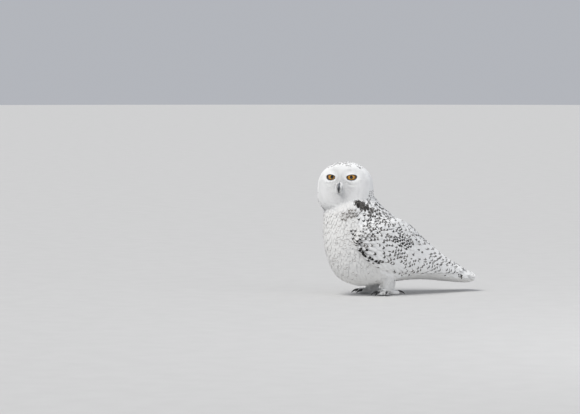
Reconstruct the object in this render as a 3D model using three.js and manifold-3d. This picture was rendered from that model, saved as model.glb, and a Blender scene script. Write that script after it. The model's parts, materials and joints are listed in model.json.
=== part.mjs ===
// A snowy owl standing at rest on level ground, its head turned to its left.
// Millimetres, +Z up. The bird faces -Y, its left side is +X, and the soles are at Z = 0.
import * as THREE from "three";
import { LoftGeometry } from "three/addons/geometries/LoftGeometry.js";
import { mergeVertices } from "three/addons/utils/BufferGeometryUtils.js";
import Module from "manifold-3d";

const wasm = await Module();
wasm.setup();

// ---------------------------------------------------------------- driving sizes

const GAP = 0.35; // clearance kept between neighbouring pieces
const SEAM = 0.4; // width of the thin cuts that part the head, neck, trunk and tail
const HEAD_TURN = THREE.MathUtils.degToRad(47); // how far the head looks to the bird's left
const HEAD_CENTRE = new THREE.Vector3(0, -38, 309);
const FINE = 0.13; // detail smaller than this is dropped from each piece

// The body from the gullet to the tail's end. Each station is a section across the body: the point
// on the back's midline and the one on the underside's, as [y, z], the half width, and the
// exponent of its superellipse, where 2 is a plain ellipse.
const BODY = [
  { name: "gullet", back: [40, 292], under: [-78, 288], half: 62, full: 2.0 },
  { name: "nape", back: [62, 256], under: [-93, 246], half: 77, full: 2.1 },
  { name: "shoulder", back: [97, 229], under: [-98, 203], half: 84, full: 2.1 },
  { name: "breast", back: [132, 206], under: [-99, 160], half: 86, full: 2.1 },
  { name: "keel", back: [166, 180], under: [-91, 112], half: 83, full: 2.1 },
  { name: "belly", back: [200, 152], under: [-62, 54], half: 76, full: 2.1 },
  { name: "vent", back: [233, 124], under: [4, 25], half: 66, full: 2.1 },
  { name: "rump", back: [265, 101], under: [100, 34], half: 55, full: 2.1 },
  { name: "under_tail", back: [292, 85], under: [190, 38], half: 45, full: 2.1 },
  { name: "tail_root", back: [314, 76], under: [262, 32], half: 40, full: 2.2 },
  { name: "tail_middle", back: [340, 66], under: [316, 26], half: 41, full: 2.6 },
  { name: "tail_end", back: [366, 55], under: [366, 23], half: 43, full: 3.0 },
];
const BODY_AROUND = 28;
const BODY_ROWS = 30;

// The folded wing lies on the body. At each point from the shoulder to the tip: where it is along
// the body in stations, the angles from the back's midline of its upper and lower edges, and how
// far it stands proud of the body.
const WING = [
  { name: "shoulder", at: 2.1, top: 46, low: 92, proud: 4 },
  { name: "bend", at: 2.7, top: 28, low: 119, proud: 12 },
  { name: "wrist", at: 3.6, top: 16, low: 127, proud: 14 },
  { name: "forearm", at: 4.8, top: 11, low: 115, proud: 14 },
  { name: "secondaries", at: 6.3, top: 7, low: 100, proud: 13 },
  { name: "tertials", at: 7.7, top: 7, low: 106, proud: 11 },
  { name: "primaries", at: 8.8, top: 12, low: 99, proud: 8 },
  { name: "tip", at: 9.75, top: 34, low: 82, proud: 5 },
];
const WING_DEPTH = 7; // how far the wing is let into the body
const WING_AROUND = 16;
const WING_ROWS = 19;

// The head as level sections from the throat to the crown, in the head's own frame, where it
// faces -Y: height, half width, and how far it reaches to the front and to the back.
const HEAD = [
  { name: "throat", z: -72, half: 50, front: 42, back: 50 },
  { name: "ruff", z: -58, half: 70, front: 54, back: 66 },
  { name: "cheek", z: -34, half: 78, front: 58, back: 74 },
  { name: "jaw", z: -12, half: 78, front: 60, back: 77 },
  { name: "eye", z: 14, half: 75, front: 60, back: 75 },
  { name: "brow", z: 34, half: 66, front: 54, back: 66 },
  { name: "forehead", z: 50, half: 50, front: 42, back: 51 },
  { name: "crown", z: 61, half: 28, front: 25, back: 30 },
  { name: "top", z: 65.5, half: 5, front: 5, back: 6 },
];
const HEAD_FULL = 2.25; // superellipse exponent of the level sections
const HEAD_AROUND = 32;
const HEAD_ROWS = 18;

const EYE = { across: 26.5, forward: 36.5, up: 24, radius: 14.5, splay: 20 };

// Relief of the face: a rounded rise or hollow centred at [across, up] on the front of the head.
const FACE = [
  { name: "socket", across: 31, up: 24, wide: 15, high: 13, rise: -7, both: true },
  { name: "disc", across: 40, up: -6, wide: 24, high: 26, rise: -4, both: true },
  { name: "bridge", across: 0, up: 14, wide: 8, high: 26, rise: 4, both: false },
  { name: "whiskers", across: 10, up: -10, wide: 7, high: 15, rise: 6, both: true },
  { name: "chin", across: 0, up: -44, wide: 26, high: 16, rise: 3, both: false },
];

// Upper and lower bill: points along the middle as [forward, up], and half the width and height.
const UPPER_BILL = [
  { name: "root", at: [51, 4], wide: 8, high: 8 },
  { name: "cere", at: [60, 2.5], wide: 7.6, high: 7.8 },
  { name: "culmen", at: [67.5, -3], wide: 6.2, high: 6.4 },
  { name: "hook", at: [71.5, -11], wide: 4, high: 4.2 },
  { name: "tip", at: [71.5, -19.5], wide: 1, high: 1.2 },
];
const LOWER_BILL = [
  { name: "root", at: [52, -13], wide: 6.4, high: 3.6 },
  { name: "middle", at: [61, -14.5], wide: 5.4, high: 3.4 },
  { name: "tip", at: [68.5, -17.5], wide: 2.2, high: 1.4 },
];
const BILL_AROUND = 10;

// Legs and feet, for the left side.
const ANKLE = { x: 42, y: 78, z: 17 };
const LEG = [
  { name: "thigh", at: [44, 62, 66], wide: 20, deep: 30 },
  { name: "shank", at: [44, 70, 46], wide: 20, deep: 27 },
  { name: "tuft", at: [43, 75, 27], wide: 18, deep: 22 },
  { name: "cuff", at: [42, 77, 12], wide: 14, deep: 17 },
];
const LEG_AROUND = 14;

// Toes: the way each one points, in degrees from straight ahead towards the outside, and its length.
const TOES = [
  { name: "hind", turn: 166, long: 34, thick: 8.0 },
  { name: "inner", turn: 0, long: 43, thick: 9.0 },
  { name: "middle", turn: 24, long: 50, thick: 9.4 },
  { name: "outer", turn: 52, long: 43, thick: 8.8 },
];
const TOE_HEIGHT = 6.8; // height of a toe's middle line; its sole is flattened at the ground
const TOE_AROUND = 9;
const CLAW = { long: 26, thick: 3.6, let_in: 6, start: 8.2 };
const CLAW_AROUND = 7;

// Plumage and horn colours of the plain solids.
const COLOURS = {
  plumage: { color: 0xe9e8e4, roughness: 0.9, metalness: 0 },
  barred: { color: 0xc9c6c0, roughness: 0.9, metalness: 0 },
  horn: { color: 0x15151a, roughness: 0.35, metalness: 0 },
  eye: { color: 0xd98a12, roughness: 0.08, metalness: 0 },
};

// ---------------------------------------------------------------- tools

const rad = THREE.MathUtils.degToRad;

// A smooth run through a list of stations: read(station) gives up to three numbers for each.
function smoothRun(stations, read) {
  const points = stations.map((s) => new THREE.Vector3(...read(s)));
  const curve = new THREE.CatmullRomCurve3(points, false, "centripetal");
  return (share) => curve.getPoint(THREE.MathUtils.clamp(share, 0, 1));
}

// A power that keeps the sign, as a superellipse needs.
function signedPower(value, power) {
  return Math.sign(value) * Math.abs(value) ** power;
}

// count + 1 shares from 0 to 1, set closer together towards both ends.
function easedShares(count) {
  return Array.from({ length: count + 1 }, (_, i) => {
    const even = i / count;
    return 0.45 * even + 0.55 * (0.5 - 0.5 * Math.cos(Math.PI * even));
  });
}

// How full a section is near the ends of a loft, so that the ends come out round.
function roundEnds(share, start, end) {
  const fromStart = start > 0 ? Math.min(share / start, 1) : 1;
  const fromEnd = end > 0 ? Math.min((1 - share) / end, 1) : 1;
  const least = 0.12;
  const full = Math.sqrt(1 - (1 - fromStart) ** 2) * Math.sqrt(1 - (1 - fromEnd) ** 2);
  return Math.max(full, least);
}

// The middle of a section's points.
function centreOf(section) {
  const sum = section.reduce((total, p) => total.add(p), new THREE.Vector3());
  return sum.divideScalar(section.length);
}

// Twice the vector area of a closed section, by Newell's rule.
function sectionArea(section) {
  return section.reduce((sum, p, i) => {
    const q = section[(i + 1) % section.length];
    return sum.add(new THREE.Vector3().crossVectors(p, q));
  }, new THREE.Vector3());
}

// A closed loft through sections given by point(share, angle), as a geometry. The sections run
// anticlockwise as seen from the loft's end, so that its wall faces outwards as its caps do.
function loftOf(point, shares, around) {
  const sections = shares.map((share) =>
    Array.from({ length: around }, (_, j) => point(share, (2 * Math.PI * j) / around)),
  );
  const row = Math.floor(sections.length / 2);
  const along = centreOf(sections[row + 1]).sub(centreOf(sections[row]));
  if (sectionArea(sections[row]).dot(along) < 0) {
    sections.forEach((section) => section.reverse());
  }
  return new LoftGeometry(sections, { capStart: true, capEnd: true });
}

// The geometry as a solid, with its surface moved outwards by grow.
function solidFrom(geometry, grow = 0) {
  const bare = new THREE.BufferGeometry().copy(geometry);
  bare.deleteAttribute("normal");
  bare.deleteAttribute("uv");
  const merged = mergeVertices(bare, 1e-3);
  merged.computeVertexNormals();
  const at = merged.attributes.position.array;
  const normal = merged.attributes.normal.array;
  const grown = Float32Array.from(at, (value, i) => value + grow * normal[i]);
  const faces = new Uint32Array(merged.index.array);
  return new wasm.Manifold(
    new wasm.Mesh({ numProp: 3, vertProperties: grown, triVerts: faces }),
  );
}

// A solid turned back into a geometry, in flat facets.
function geometryOf(solid) {
  const mesh = solid.getMesh();
  const at = new Float32Array(mesh.numVert * 3);
  for (let i = 0; i < mesh.numVert; i++) {
    at.set(mesh.vertProperties.subarray(i * mesh.numProp, i * mesh.numProp + 3), i * 3);
  }
  const geometry = new THREE.BufferGeometry();
  geometry.setAttribute("position", new THREE.BufferAttribute(at, 3));
  geometry.setIndex(new THREE.BufferAttribute(mesh.triVerts, 1));
  geometry.computeVertexNormals();
  return geometry;
}

// The largest body of a solid, without the crumbs that a cut can leave.
function mainBody(solid) {
  return solid.decompose().reduce((a, b) => (a.volume() > b.volume() ? a : b));
}

// ---------------------------------------------------------------- body and wings

const bodyLast = BODY.length - 1;
const backLine = smoothRun(BODY, (s) => [0, ...s.back]);
const underLine = smoothRun(BODY, (s) => [0, ...s.under]);
const bodyGirth = smoothRun(BODY, (s) => [s.half, s.full * 10, 0]);

// A point on the body at a station and an angle from the back's midline towards the left.
function bodyPoint(station, angle, fullness = 1) {
  const share = station / bodyLast;
  const back = backLine(share);
  const under = underLine(share);
  const girth = bodyGirth(share);
  const power = 20 / girth.y;
  const middle = back.clone().add(under).multiplyScalar(0.5);
  const reach = back.sub(under).multiplyScalar(0.5 * fullness);
  const point = middle.addScaledVector(reach, signedPower(Math.cos(angle), power));
  point.x = girth.x * fullness * signedPower(Math.sin(angle), power);
  return point;
}

// The outward direction of the body there.
function bodyNormal(station, angle) {
  const step = 0.02;
  const along = bodyPoint(station + step, angle).sub(bodyPoint(station - step, angle));
  const round = bodyPoint(station, angle + step).sub(bodyPoint(station, angle - step));
  return round.cross(along).normalize();
}

function bodyGeometry() {
  const point = (share, angle) =>
    bodyPoint(share * bodyLast, angle, roundEnds(share, 0.06, 0.012));
  return loftOf(point, easedShares(BODY_ROWS), BODY_AROUND);
}

const wingEdges = smoothRun(WING, (s) => [s.top, s.low, s.proud]);
const wingPlace = smoothRun(WING, (s) => [s.at, 0, 0]);

// The left wing: a lens-shaped section between its upper and lower edges, bent round the body.
function wingGeometry() {
  const point = (share, turn) => {
    const edges = wingEdges(share);
    const station = wingPlace(share).x;
    const full = roundEnds(share, 0.12, 0.1);
    const middle = rad(edges.x + edges.y) / 2;
    const half = (rad(edges.y - edges.x) / 2) * full;
    const angle = middle - half * Math.cos(turn);
    const lens = Math.abs(Math.sin(turn)) ** 0.62;
    const lift = Math.sin(turn) >= 0 ? edges.z * full * lens : -WING_DEPTH * full * lens;
    return bodyPoint(station, angle).addScaledVector(bodyNormal(station, angle), lift);
  };
  return loftOf(point, easedShares(WING_ROWS), WING_AROUND);
}

// ---------------------------------------------------------------- head

const headReach = smoothRun(HEAD, (s) => [s.half, s.front, s.back]);
const headHeight = smoothRun(HEAD, (s) => [0, 0, s.z]);

// How far the face stands out at a place on the front of the head.
function faceRelief(across, up) {
  return FACE.reduce((sum, f) => {
    const sides = f.both ? [-1, 1] : [1];
    const rises = sides.map((side) => {
      const dx = (across - side * f.across) / f.wide;
      const dz = (up - f.up) / f.high;
      return f.rise * Math.exp(-(dx * dx + dz * dz) / 2);
    });
    return sum + rises.reduce((a, b) => a + b, 0);
  }, 0);
}

function headGeometry() {
  const point = (share, angle) => {
    const reach = headReach(share);
    const up = headHeight(share).z;
    const ahead = Math.cos(angle);
    const across = reach.x * signedPower(Math.sin(angle), 2 / HEAD_FULL);
    const depth = ahead > 0 ? reach.y : reach.z;
    const forward = depth * signedPower(ahead, 2 / HEAD_FULL);
    const relief = ahead > 0 ? faceRelief(across, up) * Math.min(1, 2 * ahead) : 0;
    return new THREE.Vector3(across, -forward - relief, up);
  };
  return loftOf(point, easedShares(HEAD_ROWS), HEAD_AROUND);
}

function eyeGeometry(side) {
  const ball = new THREE.SphereGeometry(EYE.radius, 12, 9);
  return ball.translate(side * EYE.across, -EYE.forward, EYE.up);
}

// A bill half: sections across a line that bends down to the tip.
function billGeometry(stations, rows) {
  const line = smoothRun(stations, (s) => [0, -s.at[0], s.at[1]]);
  const size = smoothRun(stations, (s) => [s.wide, s.high, 0]);
  const point = (share, angle) => {
    const step = 0.01;
    const along = line(Math.min(share + step, 1)).sub(line(Math.max(share - step, 0)));
    const up = new THREE.Vector3(0, along.z, -along.y).normalize();
    const section = size(share);
    const out = line(share).addScaledVector(up, -section.y * Math.cos(angle));
    out.x = section.x * Math.sin(angle);
    return out;
  };
  const shares = Array.from({ length: rows + 1 }, (_, i) => i / rows);
  return loftOf(point, shares, BILL_AROUND);
}

// ---------------------------------------------------------------- legs, feet and claws

function legGeometry(side) {
  const line = smoothRun(LEG, (s) => [side * s.at[0], s.at[1], s.at[2]]);
  const size = smoothRun(LEG, (s) => [s.wide, s.deep, 0]);
  const point = (share, angle) => {
    const section = size(share);
    const full = roundEnds(share, 0.25, 0.22);
    return line(share).add(
      new THREE.Vector3(
        section.x * full * Math.sin(angle),
        section.y * full * Math.cos(angle),
        0,
      ),
    );
  };
  return loftOf(point, easedShares(7), LEG_AROUND);
}

// The way that a toe points on the ground.
function toeWay(toe, side) {
  const turn = rad(toe.turn);
  return new THREE.Vector3(side * Math.sin(turn), -Math.cos(turn), 0);
}

function toeGeometry(toe, side) {
  const way = toeWay(toe, side);
  const across = new THREE.Vector3(0, 0, 1).cross(way);
  const ankle = new THREE.Vector3(side * ANKLE.x, ANKLE.y, ANKLE.z);
  const point = (share, angle) => {
    const full = roundEnds(share, 0.12, 0.2) * toe.thick * (1 - 0.12 * share);
    const rise = (ANKLE.z - TOE_HEIGHT) * Math.max(0, 1 - share / 0.45) ** 1.6;
    return ankle
      .clone()
      .setZ(TOE_HEIGHT + rise)
      .addScaledVector(way, -6 + (toe.long + 6) * share)
      .addScaledVector(across, full * Math.sin(angle))
      .add(new THREE.Vector3(0, 0, full * Math.cos(angle)));
  };
  return loftOf(point, easedShares(5), TOE_AROUND);
}

// A claw: a horn on an arc that leaves the toe level and ends pointing down.
function clawGeometry(toe, side) {
  const way = toeWay(toe, side);
  const across = new THREE.Vector3(0, 0, 1).cross(way);
  const radius = CLAW.long / rad(80);
  const root = new THREE.Vector3(side * ANKLE.x, ANKLE.y, 0)
    .addScaledVector(way, toe.long - CLAW.let_in)
    .setZ(CLAW.start + 1.2);
  const point = (share, angle) => {
    const bend = rad(-12) + rad(70) * share;
    const thick = CLAW.thick * (1 - share) ** 0.75 + 0.35;
    const outward = way
      .clone()
      .multiplyScalar(Math.sin(bend))
      .add(new THREE.Vector3(0, 0, Math.cos(bend)));
    return root
      .clone()
      .addScaledVector(way, radius * (Math.sin(bend) + Math.sin(rad(12))))
      .add(new THREE.Vector3(0, 0, radius * (Math.cos(bend) - Math.cos(rad(12)))))
      .addScaledVector(outward, thick * Math.cos(angle))
      .addScaledVector(across, 0.8 * thick * Math.sin(angle));
  };
  const shares = Array.from({ length: 6 }, (_, i) => i / 5);
  return loftOf(point, shares, CLAW_AROUND);
}

// ---------------------------------------------------------------- assembly

// A piece of the head, from the head's own frame to its place on the bird.
function onHead(geometry) {
  return geometry.rotateZ(HEAD_TURN).translate(...HEAD_CENTRE);
}

// The plane across the body at a station, shifted towards the tail, as a normal and an offset.
function cutAt(station, shift = 0) {
  const back = backLine(station / bodyLast);
  const under = underLine(station / bodyLast);
  const across = back.clone().sub(under);
  const normal = new THREE.Vector3(0, across.z, -across.y).normalize();
  return { normal: normal.toArray(), offset: normal.dot(back) + shift };
}

// The part of a solid that lies between two stations, less half a seam at each end.
function between(solid, from, to) {
  let part = solid;
  if (from !== null) {
    const cut = cutAt(from, SEAM / 2);
    part = part.trimByPlane(cut.normal, cut.offset);
  }
  if (to !== null) {
    const cut = cutAt(to, -SEAM / 2);
    part = part.trimByPlane(
      cut.normal.map((value) => -value),
      -cut.offset,
    );
  }
  return part;
}

function mirrored(solid) {
  return solid.mirror([1, 0, 0]);
}

const pieces = {}; // node name to its solid and finish
const put = (name, solid, finish) => {
  pieces[name] = { solid: mainBody(solid.simplify(FINE)), finish };
};

const NECK_TOP = 1; // stations of the cuts
const NECK_FOOT = 2;
const TAIL_START = 9;

// What is let into the plumage, each with the room that it needs.
const eyes = { left: eyeGeometry(1), right: eyeGeometry(-1) };
const bill = { upper: billGeometry(UPPER_BILL, 9), lower: billGeometry(LOWER_BILL, 5) };
Object.values(eyes).forEach(onHead);
Object.values(bill).forEach(onHead);

const wingLeft = solidFrom(wingGeometry());
const wingRoom = solidFrom(wingGeometry(), GAP);
const upperBill = solidFrom(bill.upper);
const lowerBill = solidFrom(bill.lower).subtract(solidFrom(bill.upper, GAP));

let plumage = solidFrom(onHead(headGeometry())).add(solidFrom(bodyGeometry()));
for (const cutter of [
  solidFrom(eyes.left, GAP),
  solidFrom(eyes.right, GAP),
  solidFrom(bill.upper, GAP),
  solidFrom(bill.lower, GAP),
  wingRoom,
  mirrored(wingRoom),
  solidFrom(legGeometry(1), GAP),
  solidFrom(legGeometry(-1), GAP),
]) {
  plumage = plumage.subtract(cutter);
}

put("head", between(plumage, null, NECK_TOP), "plumage");
put("neck", between(plumage, NECK_TOP, NECK_FOOT), "plumage");
put("trunk", between(plumage, NECK_FOOT, TAIL_START), "plumage");
put("tail", between(plumage, TAIL_START, null), "plumage");
put("wing_left", wingLeft, "barred");
put("wing_right", mirrored(wingLeft), "barred");
put("eye_left", solidFrom(eyes.left), "eye");
put("eye_right", solidFrom(eyes.right), "eye");
put("bill_upper", upperBill, "horn");
put("bill_lower", lowerBill, "horn");

for (const [name, side] of [["left", 1], ["right", -1]]) {
  const legRoom = solidFrom(legGeometry(side), GAP);
  let foot = null;
  for (const toe of TOES) {
    const toeSolid = solidFrom(toeGeometry(toe, side));
    foot = foot ? foot.add(toeSolid) : toeSolid;
  }
  for (const toe of TOES) {
    const claw = solidFrom(clawGeometry(toe, side));
    foot = foot.subtract(solidFrom(clawGeometry(toe, side), GAP));
    put(`claw_${name}_${toe.name}`, claw, "horn");
  }
  foot = foot.subtract(legRoom).trimByPlane([0, 0, 1], 0);
  const wing = side > 0 ? wingRoom : mirrored(wingRoom);
  put(`leg_${name}`, solidFrom(legGeometry(side)).subtract(wing), "plumage");
  put(`foot_${name}`, foot, "plumage");
}

const owl = new THREE.Group();
const bounds = new THREE.Box3();
for (const [name, piece] of Object.entries(pieces)) {
  const mesh = new THREE.Mesh(
    geometryOf(piece.solid),
    new THREE.MeshStandardMaterial(COLOURS[piece.finish]),
  );
  mesh.name = name;
  bounds.expandByObject(mesh);
  owl.add(mesh);
}

// The origin is on the ground, under the middle of the whole bird.
const middle = bounds.getCenter(new THREE.Vector3());
owl.position.set(-middle.x, -middle.y, -bounds.min.z);

export default owl;
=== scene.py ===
"""A snowy owl at rest on level ground: its skin, coat of feathers, eyes, bill and claws.

Sizes are in millimetres in the bird's own frame until a mesh is made: the bird faces -Y, its
left side is +X, and the soles are at Z = 0. BIRD_ORIGIN carries that frame into the row's.
"""

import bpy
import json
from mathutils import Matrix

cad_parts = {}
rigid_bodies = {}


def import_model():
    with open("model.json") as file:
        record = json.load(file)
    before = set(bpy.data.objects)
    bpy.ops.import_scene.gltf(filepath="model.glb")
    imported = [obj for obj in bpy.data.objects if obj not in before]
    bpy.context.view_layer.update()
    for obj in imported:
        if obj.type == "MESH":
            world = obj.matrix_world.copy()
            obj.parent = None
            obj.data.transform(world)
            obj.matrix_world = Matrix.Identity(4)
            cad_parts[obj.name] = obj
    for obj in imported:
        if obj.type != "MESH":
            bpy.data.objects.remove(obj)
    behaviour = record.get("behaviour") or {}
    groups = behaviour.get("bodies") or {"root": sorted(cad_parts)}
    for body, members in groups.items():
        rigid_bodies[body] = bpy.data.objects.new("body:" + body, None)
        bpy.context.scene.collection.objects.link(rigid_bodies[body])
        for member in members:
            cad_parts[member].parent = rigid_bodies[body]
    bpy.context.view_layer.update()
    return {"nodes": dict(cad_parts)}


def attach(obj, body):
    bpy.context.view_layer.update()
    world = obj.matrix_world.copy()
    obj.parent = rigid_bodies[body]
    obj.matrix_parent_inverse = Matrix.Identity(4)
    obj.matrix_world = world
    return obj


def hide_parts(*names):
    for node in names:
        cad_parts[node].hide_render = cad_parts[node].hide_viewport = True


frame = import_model()

import json
import logging
import math
from collections.abc import Callable
from dataclasses import dataclass, fields
from enum import Enum

import bpy
import numpy as np
from mathutils import Matrix, Vector
from mathutils.bvhtree import BVHTree
from mathutils.kdtree import KDTree

Array = np.ndarray
Colour = tuple[float, float, float]
Stations = tuple[tuple[float, ...], ...]
Sheet = Callable[[Array, Array, Array], Array]

MM = 0.001
BIRD_ORIGIN = np.array([0.0, -128.33, 0.0])
BODY = "root"
GROUND_GAP = 0.2
ANKLE = (42.0, 78.0)
UP = np.array([0.0, 0.0, 1.0])
log = logging.getLogger("owl")


class Side(Enum):
    """The two sides of the bird, with the sign that X has there."""

    LEFT = 1
    RIGHT = -1


class Slot(Enum):
    """The record's material slots."""

    WHITE = "white_plumage"
    BARRED = "barred_plumage"
    LEG = "leg_plumage"
    EYE = "eye"
    HORN = "horn"


# ---------------------------------------------------------------- arithmetic on arrays


def unit(v: Array) -> Array:
    """The vectors along the last axis of v, each with length 1."""
    return v / np.maximum(np.linalg.norm(v, axis=-1, keepdims=True), 1e-9)


def ease(x: Array, low: float, high: float) -> Array:
    """A smooth step from 0 at low to 1 at high: 3 q^2 - 2 q^3, with q the share between them."""
    q = np.clip((np.asarray(x, float) - low) / (high - low), 0.0, 1.0)
    return q * q * (3.0 - 2.0 * q)


def dot(a: Array, b: Array) -> Array:
    """The dot products of a and b along the last axis, which is kept."""
    return np.sum(a * b, axis=-1, keepdims=True)


def flatten_on(v: Array, normal: Array) -> Array:
    """The directions v laid in the planes that the normals stand on: v - (v.n) n, made unit."""
    return unit(v - dot(v, normal) * normal)


def signed_power(x: Array, power: Array) -> Array:
    """|x| to a power, with the sign of x, as a superellipse needs."""
    return np.sign(x) * np.abs(x) ** power


def turned(points: Array, angle: float) -> Array:
    """Points turned about Z by an angle in radians.

    Args:
        points: any array of points, x, y and z along its last axis.
        angle: the angle, anticlockwise from above.

    Returns:
        The turned points, in an array of the same shape.
    """
    c, s = math.cos(angle), math.sin(angle)
    return points @ np.array([[c, s, 0.0], [-s, c, 0.0], [0.0, 0.0, 1.0]])


class Run:
    """A smooth run through stations: a centripetal Catmull-Rom curve in as many numbers as each has."""

    def __init__(self, rows: Stations) -> None:
        """Keeps the stations, with one more past each end.

        Args:
            rows: the numbers of each station, in order.
        """
        points = np.array(rows, float)
        before = 2 * points[0] - points[1]
        after = 2 * points[-1] - points[-2]
        self.points = np.vstack([before, points, after])
        self.last = len(points) - 1

    def __call__(self, share: Array) -> Array:
        """The numbers at shares of the way along.

        Between stations x1 and x2 the curve is the cubic x1 + a q + b q^2 + c q^3 whose slopes
        come from the neighbours, with knots spaced by the square root of the distances.

        Args:
            share: shares from 0 to 1, in an array of any shape.

        Returns:
            An array with one more axis, which holds the numbers.
        """
        place = np.clip(np.asarray(share, float), 0.0, 1.0) * self.last
        first = np.minimum(place.astype(int), self.last - 1)
        q = (place - first)[..., None]
        x0, x1, x2, x3 = (self.points[first + k] for k in range(4))

        def knot(a: Array, b: Array) -> Array:
            """The knot spacing between two stations, the square root of their distance."""
            return np.sqrt(np.linalg.norm(b - a, axis=-1, keepdims=True))

        d1 = knot(x1, x2)
        d1 = np.where(d1 < 1e-4, 1.0, d1)
        d0, d2 = knot(x0, x1), knot(x2, x3)
        d0 = np.where(d0 < 1e-4, d1, d0)
        d2 = np.where(d2 < 1e-4, d1, d2)
        slope1 = ((x1 - x0) / d0 - (x2 - x0) / (d0 + d1) + (x2 - x1) / d1) * d1
        slope2 = ((x2 - x1) / d1 - (x3 - x1) / (d1 + d2) + (x3 - x2) / d2) * d1
        square = -3 * x1 + 3 * x2 - 2 * slope1 - slope2
        cube = 2 * x1 - 2 * x2 + slope1 + slope2
        return x1 + slope1 * q + square * q**2 + cube * q**3


# ---------------------------------------------------------------- the bird's form


@dataclass
class Torso:
    """The body as sections from the gullet to the tail's end.

    Each station is the back's midline (y, z), the underside's (y, z), the half width and ten
    times the exponent of the section's superellipse.
    """

    stations: Stations = (
        (40, 292, -78, 288, 62, 20),
        (62, 256, -93, 246, 77, 21),
        (97, 229, -98, 203, 84, 21),
        (132, 206, -99, 160, 86, 21),
        (166, 180, -91, 112, 83, 21),
        (200, 152, -62, 54, 76, 21),
        (233, 124, 4, 25, 66, 21),
        (265, 101, 100, 34, 55, 21),
        (292, 85, 190, 38, 45, 21),
        (314, 76, 262, 32, 40, 22),
        (340, 66, 316, 26, 41, 26),
        (366, 55, 366, 23, 43, 30),
    )

    def __post_init__(self) -> None:
        """Makes the three smooth runs that the sections are read from."""
        self.last = len(self.stations) - 1
        self.back = Run([(0, s[0], s[1]) for s in self.stations])
        self.under = Run([(0, s[2], s[3]) for s in self.stations])
        self.girth = Run([(s[4], s[5], 0) for s in self.stations])

    def point(self, station: Array, angle: Array) -> Array:
        """Points of the body: middle + half reach * cos^(2/n) angle, across by half * sin^(2/n) angle.

        Args:
            station: places along the body, in stations.
            angle: angles from the back's midline towards the left, in radians.

        Returns:
            The points, with x, y and z along a new last axis.
        """
        station, angle = np.broadcast_arrays(np.asarray(station, float), np.asarray(angle, float))
        share = station / self.last
        back, under, girth = self.back(share), self.under(share), self.girth(share)
        power = 20.0 / girth[..., 1]
        reach = 0.5 * (back - under)
        out = 0.5 * (back + under) + reach * signed_power(np.cos(angle), power)[..., None]
        out[..., 0] = girth[..., 0] * signed_power(np.sin(angle), power)
        return out

    def lie(self, station: Array, angle: Array, step: float = 0.03) -> Array:
        """The direction towards the tail along the surface, a difference of points over a step."""
        return unit(self.point(station + step, angle) - self.point(station - step, angle))

    def normal(self, station: Array, angle: Array, step: float = 0.02) -> Array:
        """The outward direction: the cross product of the ways round and along the surface.

        Args:
            station: the places along the body.
            angle: the angles from the back's midline.
            step: the step of the differences.

        Returns:
            The unit directions.
        """
        along = self.point(station + step, angle) - self.point(station - step, angle)
        around = self.point(station, angle + step) - self.point(station, angle - step)
        return unit(np.cross(around, along))


@dataclass
class FoldedWing:
    """The folded wing as a sheet on the body, from the shoulder to the tip.

    Each station is its place in body stations, the angles in degrees of its upper and lower
    edges from the back's midline, and how far it stands proud of the body.
    """

    torso: Torso
    stations: Stations = (
        (2.1, 46, 92, 4),
        (2.7, 28, 119, 12),
        (3.6, 16, 127, 14),
        (4.8, 11, 115, 14),
        (6.3, 7, 100, 13),
        (7.7, 7, 106, 11),
        (8.8, 12, 99, 8),
        (9.75, 34, 82, 5),
    )
    shoulder_round: float = 0.12
    tip_round: float = 0.10
    fullness: float = 0.62

    def __post_init__(self) -> None:
        """Makes the smooth runs of the wing's place and edges."""
        self.edges = Run([s[1:4] for s in self.stations])
        self.place = Run([(s[0], 0, 0) for s in self.stations])

    @staticmethod
    def rounded(share: Array) -> Array:
        """The half width of a rounded end at shares of its length: a quarter circle, never quite 0."""
        return np.sqrt(np.clip(1 - (1 - np.clip(share, 0, 1)) ** 2, 0.02, 1))

    def point(self, share: Array, down: Array, side: int = 1, lift: Array = 0.0) -> Array:
        """Points of the wing's outer face: the body's point, raised by the wing's lens.

        Args:
            share: how far from the shoulder to the tip, from 0 to 1.
            down: how far from the upper edge to the lower one, from 0 to 1.
            side: 1 for the left wing and -1 for the right one.
            lift: height over the wing's own face.

        Returns:
            The points, with x, y and z along a new last axis.
        """
        share, down = np.broadcast_arrays(np.asarray(share, float), np.asarray(down, float))
        edges = self.edges(share)
        station = self.place(share)[..., 0]
        full = self.rounded(share / self.shoulder_round) * self.rounded((1 - share) / self.tip_round)
        middle = np.radians(edges[..., 0] + edges[..., 1]) / 2
        half = np.radians(edges[..., 1] - edges[..., 0]) / 2 * full
        angle = middle + half * (2 * down - 1)
        lens = np.sqrt(np.clip(1 - (2 * down - 1) ** 2, 0, 1)) ** self.fullness
        height = edges[..., 2] * full * lens + lift
        out = self.torso.point(station, angle) + self.torso.normal(station, angle) * height[..., None]
        out[..., 0] *= side
        return out


@dataclass
class HeadFrame:
    """The head's own frame: it faces -Y there, turned to the bird's left about its centre."""

    centre: tuple[float, float, float] = (0.0, -38.0, 309.0)
    turn: float = math.radians(47)
    eye: tuple[float, float, float] = (26.5, -36.5, 24.0)
    eye_splay: float = math.radians(20)
    bill_up: float = -6.0

    def out(self, points: Array) -> Array:
        """Points from the head's frame to the bird's."""
        return turned(np.asarray(points, float), self.turn) + np.array(self.centre)

    def into(self, points: Array) -> Array:
        """Points from the bird's frame to the head's."""
        return turned(np.asarray(points, float) - np.array(self.centre), -self.turn)

    def way(self, directions: Array) -> Array:
        """Directions from the head's frame to the bird's."""
        return turned(np.asarray(directions, float), self.turn)

    def rays(self, x: Array, z: Array) -> tuple[Array, Array]:
        """Rays that meet the face from straight ahead.

        Args:
            x: their places across, in the head's frame.
            z: their places up.

        Returns:
            The rays' starts, well before the face, and their directions, in the bird's frame.
        """
        start = self.out(np.stack([x, np.full(len(x), -140.0), z], axis=1))
        return start, np.repeat(self.way(np.array([[0, 1.0, 0]])), len(x), axis=0)


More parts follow.
